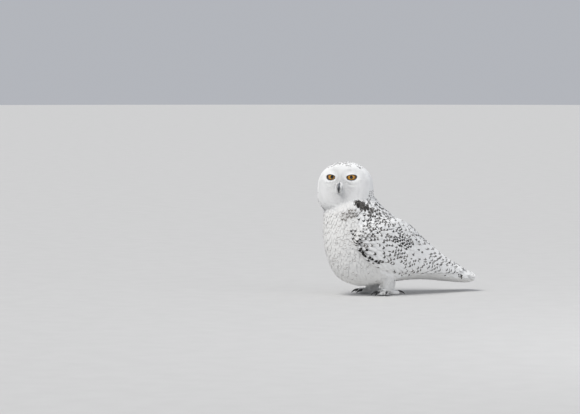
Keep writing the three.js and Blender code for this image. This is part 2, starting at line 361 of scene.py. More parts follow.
@dataclass(frozen=True)
class Toe:
    """A toe: degrees outwards from straight ahead, length and half thickness."""

    degrees: float
    long: float
    thick: float

    def way(self) -> Array:
        """The level direction that the toe points in."""
        return turned(np.array([0.0, -1.0, 0.0]), math.radians(self.degrees))


TOES = {
    "hind": Toe(166, 34, 8.0),
    "inner": Toe(0, 43, 9.0),
    "middle": Toe(24, 50, 9.4),
    "outer": Toe(52, 43, 8.8),
}


# ---------------------------------------------------------------- meshes


def make_mesh(name: str, points: Array, faces: Array, smooth_under: float | None = None) -> bpy.types.Object:
    """An object from points in the bird's frame and quads or triangles.

    Args:
        name: the object's name.
        points: vertices, one to a row, in millimetres.
        faces: vertex numbers, three or four to a row.
        smooth_under: edges bent by more than this many degrees stay sharp; None smooths all.

    Returns:
        The object, in the scene, with its place in its mesh.
    """
    mesh = bpy.data.meshes.new(name)
    count, corners = faces.shape
    mesh.vertices.add(len(points))
    mesh.vertices.foreach_set("co", ((points + BIRD_ORIGIN) * MM).astype(np.float32).ravel())
    mesh.loops.add(count * corners)
    mesh.loops.foreach_set("vertex_index", faces.astype(np.int32).ravel())
    mesh.polygons.add(count)
    mesh.polygons.foreach_set("loop_start", np.arange(0, count * corners, corners, dtype=np.int32))
    mesh.update(calc_edges=True)
    mesh.polygons.foreach_set("use_smooth", np.ones(count, bool))
    if smooth_under is not None:
        mesh.set_sharp_from_angle(angle=math.radians(smooth_under))
    piece = bpy.data.objects.new(name, mesh)
    bpy.context.scene.collection.objects.link(piece)
    return piece


def grid_faces(rows: int, columns: int, closed: bool) -> Array:
    """The quads of a grid whose vertices run along its rows.

    Args:
        rows: the number of rows.
        columns: the number of vertices in a row.
        closed: whether each row's last vertex joins its first.

    Returns:
        Four vertex numbers to a row: (r, c), (r, c + 1), (r + 1, c + 1), (r + 1, c).
    """
    wide = columns if closed else columns - 1
    r, c = np.meshgrid(np.arange(rows - 1), np.arange(wide), indexing="ij")
    across = (c + 1) % columns
    quads = [r * columns + c, r * columns + across, (r + 1) * columns + across, (r + 1) * columns + c]
    return np.stack(quads, axis=-1).reshape(-1, 4)


def tube_mesh(name: str, rings: Array) -> bpy.types.Object:
    """A closed surface through rings of points, with a fan of triangles at each end.

    Args:
        name: the object's name.
        rings: points by ring and by place round it, anticlockwise as seen from the last ring.

    Returns:
        The object, its faces outward.
    """
    rows, around, _ = rings.shape
    points = np.vstack([rings.reshape(-1, 3), rings[0].mean(0), rings[-1].mean(0)])
    wall = grid_faces(rows, around, True)
    k = np.arange(around)
    first, last = rows * around, rows * around + 1
    start = np.stack([np.full(around, first), (k + 1) % around, k], axis=1)
    base = (rows - 1) * around
    end = np.stack([np.full(around, last), base + k, base + (k + 1) % around], axis=1)
    tris = np.vstack([wall[:, [0, 1, 2]], wall[:, [0, 2, 3]], start, end])
    return make_mesh(name, points, tris)


def read_mesh(mesh: bpy.types.Mesh) -> tuple[Array, Array]:
    """A mesh's vertices, in millimetres in the bird's frame, and its triangles.

    Args:
        mesh: the mesh to read.

    Returns:
        The vertices and the triangles.
    """
    place = np.empty(len(mesh.vertices) * 3, np.float32)
    mesh.vertices.foreach_get("co", place)
    mesh.calc_loop_triangles()
    tris = np.empty(len(mesh.loop_triangles) * 3, np.int32)
    mesh.loop_triangles.foreach_get("vertices", tris)
    return place.reshape(-1, 3).astype(float) / MM - BIRD_ORIGIN, tris.reshape(-1, 3)


def carry(piece: bpy.types.Object, name: str, values: Array) -> None:
    """Gives each vertex of a piece its number under a name."""
    layer = piece.data.attributes.new(name, "FLOAT", "POINT")
    layer.data.foreach_set("value", values.astype(np.float32))


def settle(piece: bpy.types.Object, slot: Slot, material: bpy.types.Material, *nodes: str) -> None:
    """Dresses a finished piece, ties it to the body and hides the solids that it stands for.

    Args:
        piece: the finished object.
        slot: the record's slot for its finish; not used.
        material: its material.
        nodes: the solids that it stands for.
    """
    piece.data.materials.clear()
    piece.data.materials.append(material)
    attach(piece, BODY)
    if nodes:
        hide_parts(*nodes)
    log.info("%s: %d faces", piece.name, len(piece.data.polygons))


# ---------------------------------------------------------------- shader arithmetic


class Tree:
    """A material's node tree, with one method that adds any node."""

    def __init__(self, name: str) -> None:
        """Starts an empty tree with its Principled shader and output.

        Args:
            name: the material's name.
        """
        self.material = bpy.data.materials.new(name)
        self.material.use_nodes = True
        self.nodes = self.material.node_tree.nodes
        self.links = self.material.node_tree.links
        self.nodes.clear()
        output = self.nodes.new("ShaderNodeOutputMaterial")
        self.shader = self.nodes.new("ShaderNodeBsdfPrincipled")
        self.links.new(self.shader.outputs[0], output.inputs["Surface"])

    def node(self, kind: str, settings: dict | None = None, sockets: dict | None = None) -> bpy.types.Node:
        """Adds a node.

        Args:
            kind: the node's type.
            settings: its properties, set first.
            sockets: values or links for its inputs, by name or number.

        Returns:
            The node.
        """
        made = self.nodes.new(kind)
        for key, value in (settings or {}).items():
            setattr(made, key, value)
        for key, value in (sockets or {}).items():
            self.feed(made.inputs[key], value)
        return made

    def feed(self, socket: bpy.types.NodeSocket, value: object) -> None:
        """Links a wire to a socket, or sets the socket's own value.

        Args:
            socket: the socket to feed.
            value: a wire, or the value itself.
        """
        if isinstance(value, Wire):
            self.links.new(value.socket, socket)
        else:
            socket.default_value = value

    def wire(
        self, kind: str, settings: dict | None = None, sockets: dict | None = None, out: int | str = 0
    ) -> "Wire":
        """Adds a node as node() does, and gives one of its outputs as a wire."""
        return Wire(self, self.node(kind, settings, sockets).outputs[out])

    def dress(self, sockets: dict) -> bpy.types.Material:
        """Feeds the shader's sockets, given by name, and gives the material.

        Args:
            sockets: values or wires, by the socket's name.

        Returns:
            The material.
        """
        for name, value in sockets.items():
            self.feed(self.shader.inputs[name], value)
        return self.material

    def bump(self, height: "Wire", strength: float, distance: float) -> "Wire":
        """The normal of a surface raised by a height, by a distance in metres at most."""
        sockets = {"Height": height, "Strength": strength, "Distance": distance}
        return self.wire("ShaderNodeBump", None, sockets)

    def attribute(self, name: str) -> "Wire":
        """A number that the mesh carries under a name."""
        return self.wire("ShaderNodeAttribute", {"attribute_name": name}, out="Fac")

    def place(self) -> "Wire":
        """The Object coordinates."""
        return self.wire("ShaderNodeTexCoord", out="Object")

    def noise(self, scale: float, detail: float = 2.0, vector: "Wire | None" = None) -> "Wire":
        """Noise from 0 to 1 on Object coordinates, or on the vector given."""
        at = vector if vector is not None else self.place()
        return self.wire("ShaderNodeTexNoise", None, {"Vector": at, "Scale": scale, "Detail": detail}, "Fac")

    def blend(self, share: object, a: object, b: object) -> "Wire":
        """A colour between a and b by a share.

        Args:
            share: a wire or a number from 0 to 1.
            a: the colour at 0, a wire or red, green and blue.
            b: the colour at 1, the same.

        Returns:
            The blended colour.
        """
        a, b = (end if isinstance(end, Wire) else (*end, 1.0) for end in (a, b))
        return self.wire("ShaderNodeMix", {"data_type": "RGBA"}, {0: share, 6: a, 7: b}, 2)


class Wire:
    """A socket that takes part in arithmetic; each operator adds one Math node."""

    def __init__(self, tree: Tree, socket: bpy.types.NodeSocket) -> None:
        """Keeps the tree and the output socket."""
        self.tree = tree
        self.socket = socket

    def maths(self, operation: str, *others: object) -> "Wire":
        """A Math node on this wire and others."""
        sockets = dict(enumerate((self, *others)))
        return self.tree.wire("ShaderNodeMath", {"operation": operation}, sockets)

    def __add__(self, other: object) -> "Wire":
        """The sum."""
        return self.maths("ADD", other)

    __radd__ = __add__

    def __mul__(self, other: object) -> "Wire":
        """The product."""
        return self.maths("MULTIPLY", other)

    __rmul__ = __mul__

    def __sub__(self, other: object) -> "Wire":
        """The difference."""
        return self.maths("SUBTRACT", other)

    def __rsub__(self, other: float) -> "Wire":
        """A number less this wire."""
        return self.maths("MULTIPLY", -1.0).maths("ADD", other)

    def __truediv__(self, other: object) -> "Wire":
        """The quotient."""
        return self.maths("DIVIDE", other)

    def size(self) -> "Wire":
        """The value without its sign."""
        return self.maths("ABSOLUTE")

    def rise(self, low: float, high: float) -> "Wire":
        """A smooth step from 0 at low to 1 at high; a step down where low is the greater.

        Args:
            low: where the step starts.
            high: where it ends.

        Returns:
            The step.
        """
        made = self.tree.node("ShaderNodeMapRange", {"interpolation_type": "SMOOTHSTEP"}, {"Value": self})
        flip = low > high
        made.inputs["From Min"].default_value = high if flip else low
        made.inputs["From Max"].default_value = low if flip else high
        made.inputs["To Min"].default_value = 1.0 if flip else 0.0
        made.inputs["To Max"].default_value = 0.0 if flip else 1.0
        return Wire(self.tree, made.outputs["Result"])


@dataclass(frozen=True)
class Plumage:
    """Feather finish: pale vanes, painted shade at root and rims, dark marks where the feather carries them.
    """

    name: str
    pale: Colour = (0.90, 0.90, 0.895)
    # shade: the grey that painted shade and the carried tone blend the pale towards.
    shade: Colour = (0.60, 0.60, 0.605)
    mark: Colour = (0.014, 0.012, 0.011)
    faint: Colour = (0.44, 0.415, 0.39)
    roughness: float = 0.78
    barbs: float = 0.35
    # depth: how much painted shade greys the root half of each vane.
    depth: float = 0.25
    streak: float = 0.22
    # edge: how much painted shade darkens the rims of the vane, for the gaps between overlapping feathers.
    edge: float = 0.0

    def material(self) -> bpy.types.Material:
        """The feather material.

        Barbs run out from the shaft towards the tip: lines of equal distance along less 0.22 of
        the distance across. A bar lies where the distance along the vane is within half a bar
        of bar_at, of bar_at - bar_gap and so on, for as many bars as the feather has. It bends
        towards the root at the vane's edges and ends at bar_span of the half width.

        Returns:
            The material.
        """
        tree = Tree(self.name)
        vane = tree.wire("ShaderNodeUVMap", {"uv_map": "vane"})
        split = tree.node("ShaderNodeSeparateXYZ", None, {0: vane})
        across = Wire(tree, split.outputs[0]) * 2.0 - 1.0
        along = Wire(tree, split.outputs[1])
        # The carried greying: random tone, and painted shade where the face and collar carry it.
        tone = tree.attribute("tone")
        barb = along - across.size() * 0.22
        comb = {"X": barb * 46.0, "Y": across * 1.3, "Z": tone * 90.0}
        combed = tree.noise(1.0, 2.0, tree.wire("ShaderNodeCombineXYZ", None, comb))
        ragged = (tree.noise(700.0, 1.0) - 0.5) * 0.06 + (combed - 0.5) * 0.05
        place = along + across * across * 0.02 + ragged
        steps = (tree.attribute("bar_at") - place) / tree.attribute("bar_gap")
        last = tree.attribute("bars") - 1.0
        nearest = steps.maths("ROUND").maths("MAXIMUM", 0.0).maths("MINIMUM", last)
        off = (steps - nearest).size() * tree.attribute("bar_gap")
        bar = (off / tree.attribute("bar_half")).rise(1.2, 0.8)
        inside = (across.size() / tree.attribute("bar_span")).rise(1.12, 0.88)
        dark = tree.attribute("mark")
        mark = bar * inside * dark.rise(0.0, 0.08)
        shaft = across.size().rise(0.05, 0.015) * 0.10
        # Painted shade: the vane greys towards its root, which lies under the feathers over it; the carried
        # greying and the shaft line add to it.
        depth = along.rise(0.5, 0.0) * self.depth + tone + shaft
        # Painted shade along the vane's rims, for the shadowed gaps between overlapping feathers.
        if self.edge:
            depth = depth + across.size().rise(0.55, 1.0) * self.edge
        streak = (combed - 0.5) * self.streak
        pale = tree.blend((depth + streak).maths("MAXIMUM", 0.0), self.pale, self.shade)
        return tree.dress(
            {
                "Base Color": tree.blend(mark, pale, tree.blend(dark, self.faint, self.mark)),
                "Roughness": self.roughness,
                "Specular IOR Level": 0.22,
                "Sheen Weight": 0.15,
                "Sheen Roughness": 0.5,
                "Normal": tree.bump(combed, self.barbs, 0.0006),
            }
        )


@dataclass(frozen=True)
class Down:
    """The finish of the skin: close white down, greyed where the coat over it is marked."""

    name: str = "down"
    pale: Colour = (0.72, 0.72, 0.72)
    dark: Colour = (0.12, 0.11, 0.105)

    def material(self) -> bpy.types.Material:
        """The down: pale to dark by the coat's marks, mottled and fluffed by noise.

        Returns:
            The material.
        """
        tree = Tree(self.name)
        mottle = tree.noise(700.0, 3.0)
        share = (tree.attribute("mark") * 0.75 + (mottle - 0.5) * 0.25).maths("MAXIMUM", 0.0)
        colour = tree.blend(share, self.pale, self.dark)
        return tree.dress({"Base Color": colour, "Roughness": 0.95, "Normal": tree.bump(mottle, 0.6, 0.001)})


@dataclass(frozen=True)
class Horn:
    """The finish of the bill and claws: black horn, greyer and duller towards the root."""

    name: str
    tip: Colour = (0.012, 0.012, 0.014)
    root: Colour = (0.045, 0.043, 0.045)
    fade: tuple[float, float] = (0.0, 0.6)

    def material(self) -> bpy.types.Material:
        """Black horn: colour and gloss from the distance along the horn, with fine growth lines.

        Returns:
            The material.
        """
        tree = Tree(self.name)
        lines = tree.noise(260.0, 3.0)
        share = tree.attribute("along").rise(*self.fade) + (lines - 0.5) * 0.4
        share = share.maths("MAXIMUM", 0.0).maths("MINIMUM", 1.0)
        return tree.dress(
            {
                "Base Color": tree.blend(share, self.root, self.tip),
                "Roughness": 0.48 - share * 0.22 + (lines - 0.5) * 0.12,
                "Coat Roughness": 0.2,
                "Coat Weight": share * 0.35,
                "Normal": tree.bump(lines, 0.15, 0.0004),
            }
        )


@dataclass(frozen=True)
class EyeGloss:
    """The finish of the eyeball: black pupil, amber iris with fine spokes, dark rim, under a wet coat."""

    name: str = "eye"
    pupil: float = 0.33
    iris: float = 0.86
    inner: Colour = (0.64, 0.31, 0.022)
    outer: Colour = (0.26, 0.092, 0.008)
    black: Colour = (0.003, 0.003, 0.003)

    def material(self) -> bpy.types.Material:
        """The eye, painted by distance from its axis, which the mesh carries as "ring".

        Returns:
            The material.
        """
        tree = Tree(self.name)
        ring = tree.attribute("ring")
        spun = {"Vector": tree.wire("ShaderNodeUVMap", {"uv_map": "spokes"}), "Scale": 1.0, "Detail": 3.0}
        spokes = tree.wire("ShaderNodeTexNoise", {"noise_dimensions": "2D"}, spun, "Fac")
        warmth = (ring.rise(self.pupil, self.iris) + (spokes - 0.5) * 0.9).maths("MAXIMUM", 0.0)
        amber = tree.blend(warmth.maths("MINIMUM", 1.0), self.inner, self.outer)
        dark = ring.rise(self.pupil + 0.015, self.pupil - 0.015)
        rim = ring.rise(self.iris - 0.05, self.iris + 0.03)
        colour = tree.blend(dark.maths("MAXIMUM", rim), amber, self.black)
        return tree.dress(
            {"Base Color": colour, "Roughness": 0.12, "Coat Weight": 0.4, "Coat Roughness": 0.03}
        )


@dataclass(frozen=True)
class LidSkin:
    """The finish of the eyelids: matt black skin at the margin, white down beyond it."""

    name: str = "eyelid"
    colour: Colour = (0.016, 0.014, 0.014)
    down: Colour = (0.80, 0.80, 0.79)

    def material(self) -> bpy.types.Material:
        """Black to white by the distance from the margin, which the mesh carries as "rim".

        Returns:
            The material.
        """
        tree = Tree(self.name)
        grain = tree.noise(2500.0, 2.0)
        white = (tree.attribute("rim") + (grain - 0.5) * 0.2).rise(0.50, 0.78)
        return tree.dress(
            {
                "Base Color": tree.blend(white, self.colour, self.down),
                "Roughness": 0.42 + white * 0.45,
                "Normal": tree.bump(grain, 0.3, 0.0003),
            }
        )


# ---------------------------------------------------------------- skin


class Surface:
    """A closed surface that can be asked for its nearest points and where rays meet it."""

    def __init__(self, points: Array, tris: Array) -> None:
        """Keeps the arrays and builds the search tree.

        Args:
            points: vertices in millimetres.
            tris: three vertex numbers to a row.
        """
        self.points, self.tris = points, tris
        flat = np.cross(points[tris[:, 1]] - points[tris[:, 0]], points[tris[:, 2]] - points[tris[:, 0]])
        sums = np.stack(
            [np.bincount(tris.ravel(), np.repeat(flat[:, k], 3), len(points)) for k in range(3)], axis=1
        )
        self.normals = unit(sums)
        self.facing = unit(self.normals[tris].sum(1))
        self.search = BVHTree.FromPolygons(points.tolist(), tris.tolist())

    def nearest(self, points: Array) -> tuple[Array, Array]:
        """The surface's nearest points to points, and its smoothed normals there.

        Args:
            points: the places to start from.

        Returns:
            The nearest points and the normals.
        """
        hits = [self.search.find_nearest(p) for p in points.tolist()]
        place = np.array([hit[0][:] for hit in hits])
        return place, self.facing[np.array([hit[2] for hit in hits])]

    def met(self, starts: Array, ways: Array) -> tuple[Array, Array, Array]:
        """Where rays meet the surface.

        Args:
            starts: the rays' starts.
            ways: the rays' directions.

        Returns:
            The meeting points, the normals there, and whether each ray meets the surface at all.
        """
        hits = [self.search.ray_cast(s, w) for s, w in zip(starts.tolist(), ways.tolist())]
        found = np.array([hit[0] is not None for hit in hits])
        place = np.array([hit[0][:] if hit[0] is not None else (0.0, 0.0, 0.0) for hit in hits])
        number = np.array([hit[2] if hit[2] is not None else 0 for hit in hits])
        return place, self.facing[number], found


@dataclass
class Skin:
    """The bird's skin: one closed surface under the coat, from bill to tail and toes.

    The flesh solids are joined, remeshed and relaxed into the outer form, and the skin is that
    form drawn in along its normals by the coat's depth.
    """

    head: HeadFrame
    grain: float = 2.8
    body_depth: float = 8.5
    head_depth: float = 6.0
    face_depth: float = 3.2
    tail_depth: float = 6.0
    tail_end: float = 305.0
    tail_shrink: float = 0.62
    seam: float = 0.4
    leg_depth: float = 4.0
    toe_depth: float = 2.2
    socket_depth: float = 6.0
    leg_at: tuple[float, float] = (43.0, 74.0)
    flesh: tuple[str, ...] = (
        "head",
        "neck",
        "trunk",
        "tail",
        "wing_left",
        "wing_right",
        "leg_left",
        "leg_right",
        "foot_left",
        "foot_right",
    )
    filled: tuple[str, ...] = ("eye_left", "eye_right", "bill_upper", "bill_lower")

    def solid(self, name: str) -> tuple[Array, Array]:
        """A solid's welded vertices, moved out by the seam to meet its neighbours, and its triangles.

        Args:
            name: the solid's name.

        Returns:
            The vertices and the triangles.
        """
        place, tris = read_mesh(frame["nodes"][name].data)
        _, keep, back = np.unique(np.round(place, 2), axis=0, return_index=True, return_inverse=True)
        points, tris = place[keep], back.ravel()[tris]
        return points + self.seam * Surface(points, tris).normals, tris

    def remeshed(self, points: Array, tris: Array, grain: float, relax: int) -> tuple[Array, Array]:
        """A surface made again as one skin of even grain, then relaxed.

        Args:
            points: vertices of one or more closed shells.
            tris: their triangles.
            grain: the size of the new faces.
            relax: how many times each vertex moves half way to its neighbours' mean.

        Returns:
            The new vertices and triangles.
        """
        piece = make_mesh("skin_rough", points, tris)
        tool = piece.modifiers.new("grain", "REMESH")
        tool.mode = "VOXEL"
        tool.voxel_size = grain * MM
        made = piece.evaluated_get(bpy.context.evaluated_depsgraph_get())
        found = read_mesh(made.to_mesh())
        made.to_mesh_clear()
        old = piece.data
        bpy.data.objects.remove(piece)
        bpy.data.meshes.remove(old)
        return self.relaxed(*found, relax)

    def relaxed(self, points: Array, tris: Array, times: int) -> tuple[Array, Array]:
        """Each vertex moved half way to the mean of its neighbours, as many times as asked.

        Args:
            points: the vertices.
            tris: the triangles.
            times: how many times they move.

        Returns:
            The moved vertices and the same triangles.
        """
        pairs = np.sort(np.vstack([tris[:, [0, 1]], tris[:, [1, 2]], tris[:, [2, 0]]]), axis=1)
        pairs = np.unique(pairs, axis=0)
        ends = np.concatenate([pairs[:, 0], pairs[:, 1]])
        others = np.concatenate([pairs[:, 1], pairs[:, 0]])
        count = np.maximum(np.bincount(ends, minlength=len(points)), 1)[:, None]
        for _ in range(times):
            sums = [np.bincount(ends, points[others, k], len(points)) for k in range(3)]
            points = 0.5 * points + 0.5 * np.stack(sums, axis=1) / count
        return points, tris

    def depth(self, points: Array) -> Array:
        """How deep the coat is over each point: by height on the legs, else by part of the bird.

        Args:
            points: points of the outer form.

        Returns:
            Their depths, blended by smooth steps from one part of the bird to the next.
        """

        def towards(depth: float, share: Array) -> None:
            """Blends the depths towards another by a share."""
            deep[:] += (depth - deep) * share

        local = self.head.into(points)
        deep = np.full(len(points), self.body_depth)
        towards(self.tail_depth, ease(points[:, 1], 190, 280))
        on_head = ease(points[:, 2], 238, 262)
        towards(self.head_depth, on_head)
        towards(self.face_depth, ease(-local[:, 1], 18, 44) * ease(local[:, 2], -70, -48) * on_head)
        off_eye = np.hypot(np.abs(local[:, 0]) - self.head.eye[0], local[:, 2] - self.head.eye[2])
        deep += self.socket_depth * ease(off_eye, 20, 14) * (local[:, 1] < -20) * on_head
        off_leg = np.hypot(np.abs(points[:, 0]) - self.leg_at[0], points[:, 1] - self.leg_at[1])
        towards(self.leg_depth, ease(points[:, 2], 52, 38) * ease(off_leg, 60, 44))
        towards(self.toe_depth, ease(points[:, 2], 26, 18) * ease(off_leg, 120, 100))
        return deep

    def build(self) -> bpy.types.Object:
        """Makes the outer form and the skin, keeps both as surfaces, and gives the skin's object.

        Returns:
            The skin's object.
        """
        parts = [self.solid(name) for name in self.flesh + self.filled]
        starts = np.cumsum([0] + [len(points) for points, _ in parts[:-1]])
        points = np.vstack([points for points, _ in parts])
        tris = np.vstack([tris + start for (_, tris), start in zip(parts, starts)])
        form = self.remeshed(points, tris, self.grain, 3)
        self.outer = Surface(*form)
        soft = Surface(*self.relaxed(*form, 6))
        sunk = form[0] - soft.normals * self.depth(form[0])[:, None]
        sunk[:, 1] -= self.tail_shrink * np.maximum(sunk[:, 1] - self.tail_end, 0.0)
        sunk, tris = self.relaxed(sunk, form[1], 6)
        self.under = Surface(*self.remeshed(sunk, tris, self.grain, 2))
        return make_mesh("skin", self.under.points, self.under.tris)

    def paint(self, piece: bpy.types.Object, roots: Array, marks: Array) -> None:
        """Gives the skin the mark of the feather that stands nearest to each vertex.

        Args:
            piece: the skin's object.
            roots: the feathers' roots.
            marks: the feathers' marks.
        """
        tree = KDTree(len(roots))
        for number, place in enumerate(roots.tolist()):
            tree.insert(place, number)
        tree.balance()
        near = np.array([tree.find(p)[1] for p in self.under.points.tolist()])
        carry(piece, "mark", marks[near])


# ---------------------------------------------------------------- feathers


@dataclass(frozen=True)
class Vane:
    """The shape that a tract's feathers share: a thin closed lens on a grid of rows and columns."""

    rows: int
    columns: int
    tip: float = 0.45
    root_share: float = 0.42
    tip_share: float = 0.82
    widest: float = 0.45
    cup: float = 0.10
    thick: float = 0.05
    ragged: float = 0.05
    sharp: float = 75.0

    def plan(self) -> tuple[Array, Array, Array, Array]:
        """The lens laid flat.

        The upper face is a grid with s across from -1 to 1 and t along from 0 to 1; the lower
        face has its own vertices inside and shares the rim.

        Returns:
            Across and along for each vertex, whether it is on the lower face, and the quads.
        """
        t, s = np.meshgrid(np.linspace(0, 1, self.rows), np.linspace(-1, 1, self.columns), indexing="ij")
        number = np.arange(t.size).reshape(t.shape)
        below = number.copy()
        inner = below[1:-1, 1:-1]
        below[1:-1, 1:-1] = t.size + np.arange(inner.size).reshape(inner.shape)

        def quads(of: Array, flip: bool) -> Array:
            """The quads of one face, turned over where it is the lower one."""
            four = [of[:-1, :-1], of[:-1, 1:], of[1:, 1:], of[1:, :-1]]
            return np.stack(four[::-1] if flip else four, axis=-1).reshape(-1, 4)

        faces = np.vstack([quads(number, False), quads(below, True)])
        across = np.concatenate([s.ravel(), s[1:-1, 1:-1].ravel()])
        along = np.concatenate([t.ravel(), t[1:-1, 1:-1].ravel()])
        lower = np.concatenate([np.zeros(t.size, bool), np.ones(inner.size, bool)])
        return across, along, lower, faces

    def rounded(self, along: Array, across: Array) -> Array:
        """The distance along with a rounded tip: t (1 - tip (1 - sqrt(1 - 0.96 s^2)))."""
        return along * (1 - self.tip * (1 - np.sqrt(1 - 0.96 * across**2)))

    def half_width(self, along: Array) -> Array:
        """The half width: rising from the root to the widest place, then easing to the tip."""
        grow = self.root_share + (1 - self.root_share) * ease(along, 0.0, self.widest)
        return grow * (1 - (1 - self.tip_share) * ease(along, self.widest, 1.0))


@dataclass
class Roots:
    """Where a tract's feathers stand, which way they lie, and how each is marked.

    A root's unwrap is its place on an unwrap of the body, in two numbers. A field given as one
    number is spread over all the feathers.
    """

    at: Array
    lie: Array
    long: Array
    wide: Array
    unwrap: Array
    proud: Array = 0.0
    mark: Array = 0.0
    bar_at: Array = 0.8
    bar_gap: Array = 0.3
    bars: Array = 1.0
    bar_half: Array = 0.08
    bar_span: Array = 0.8
    # Greys the vane: random tone on most feathers, painted shade on the face and on the collar under the
    # cheek.
    tone: Array = 0.0
    shallow: Array = 0.0

    def __post_init__(self) -> None:
        """Spreads single numbers over the feathers."""
        for item in fields(self):
            value = np.asarray(getattr(self, item.name), float)
            if value.ndim == 0:
                setattr(self, item.name, np.full(len(self.at), value))

    @classmethod
    def of_quills(cls, count: int) -> "Roots":
        """Roots that only carry marks, for long feathers laid on a sheet."""
        none = np.zeros((count, 3))
        return cls(none, none, 1.0, 1.0, np.stack([np.arange(count) * 1.0, np.zeros(count)], axis=1))

    def take(self, keep: Array) -> "Roots":
        """The roots that an array of truths or numbers picks."""
        return Roots(*(getattr(self, item.name)[keep] for item in fields(self)))

    def __add__(self, other: "Roots") -> "Roots":
        """Both lots of roots."""
        pairs = ((getattr(self, item.name), getattr(other, item.name)) for item in fields(self))
        return Roots(*(np.concatenate(pair) for pair in pairs))

    def seen(self) -> Array:
        """The middle of each feather's visible end."""
        return self.at + self.lie * (self.long * 0.8)[:, None]

    def put(self, where: Array, **marks: Array) -> None:
        """Gives new marks, under their names, to the feathers that truths pick."""
        for name, value in marks.items():
            setattr(self, name, np.where(where, value, getattr(self, name)))


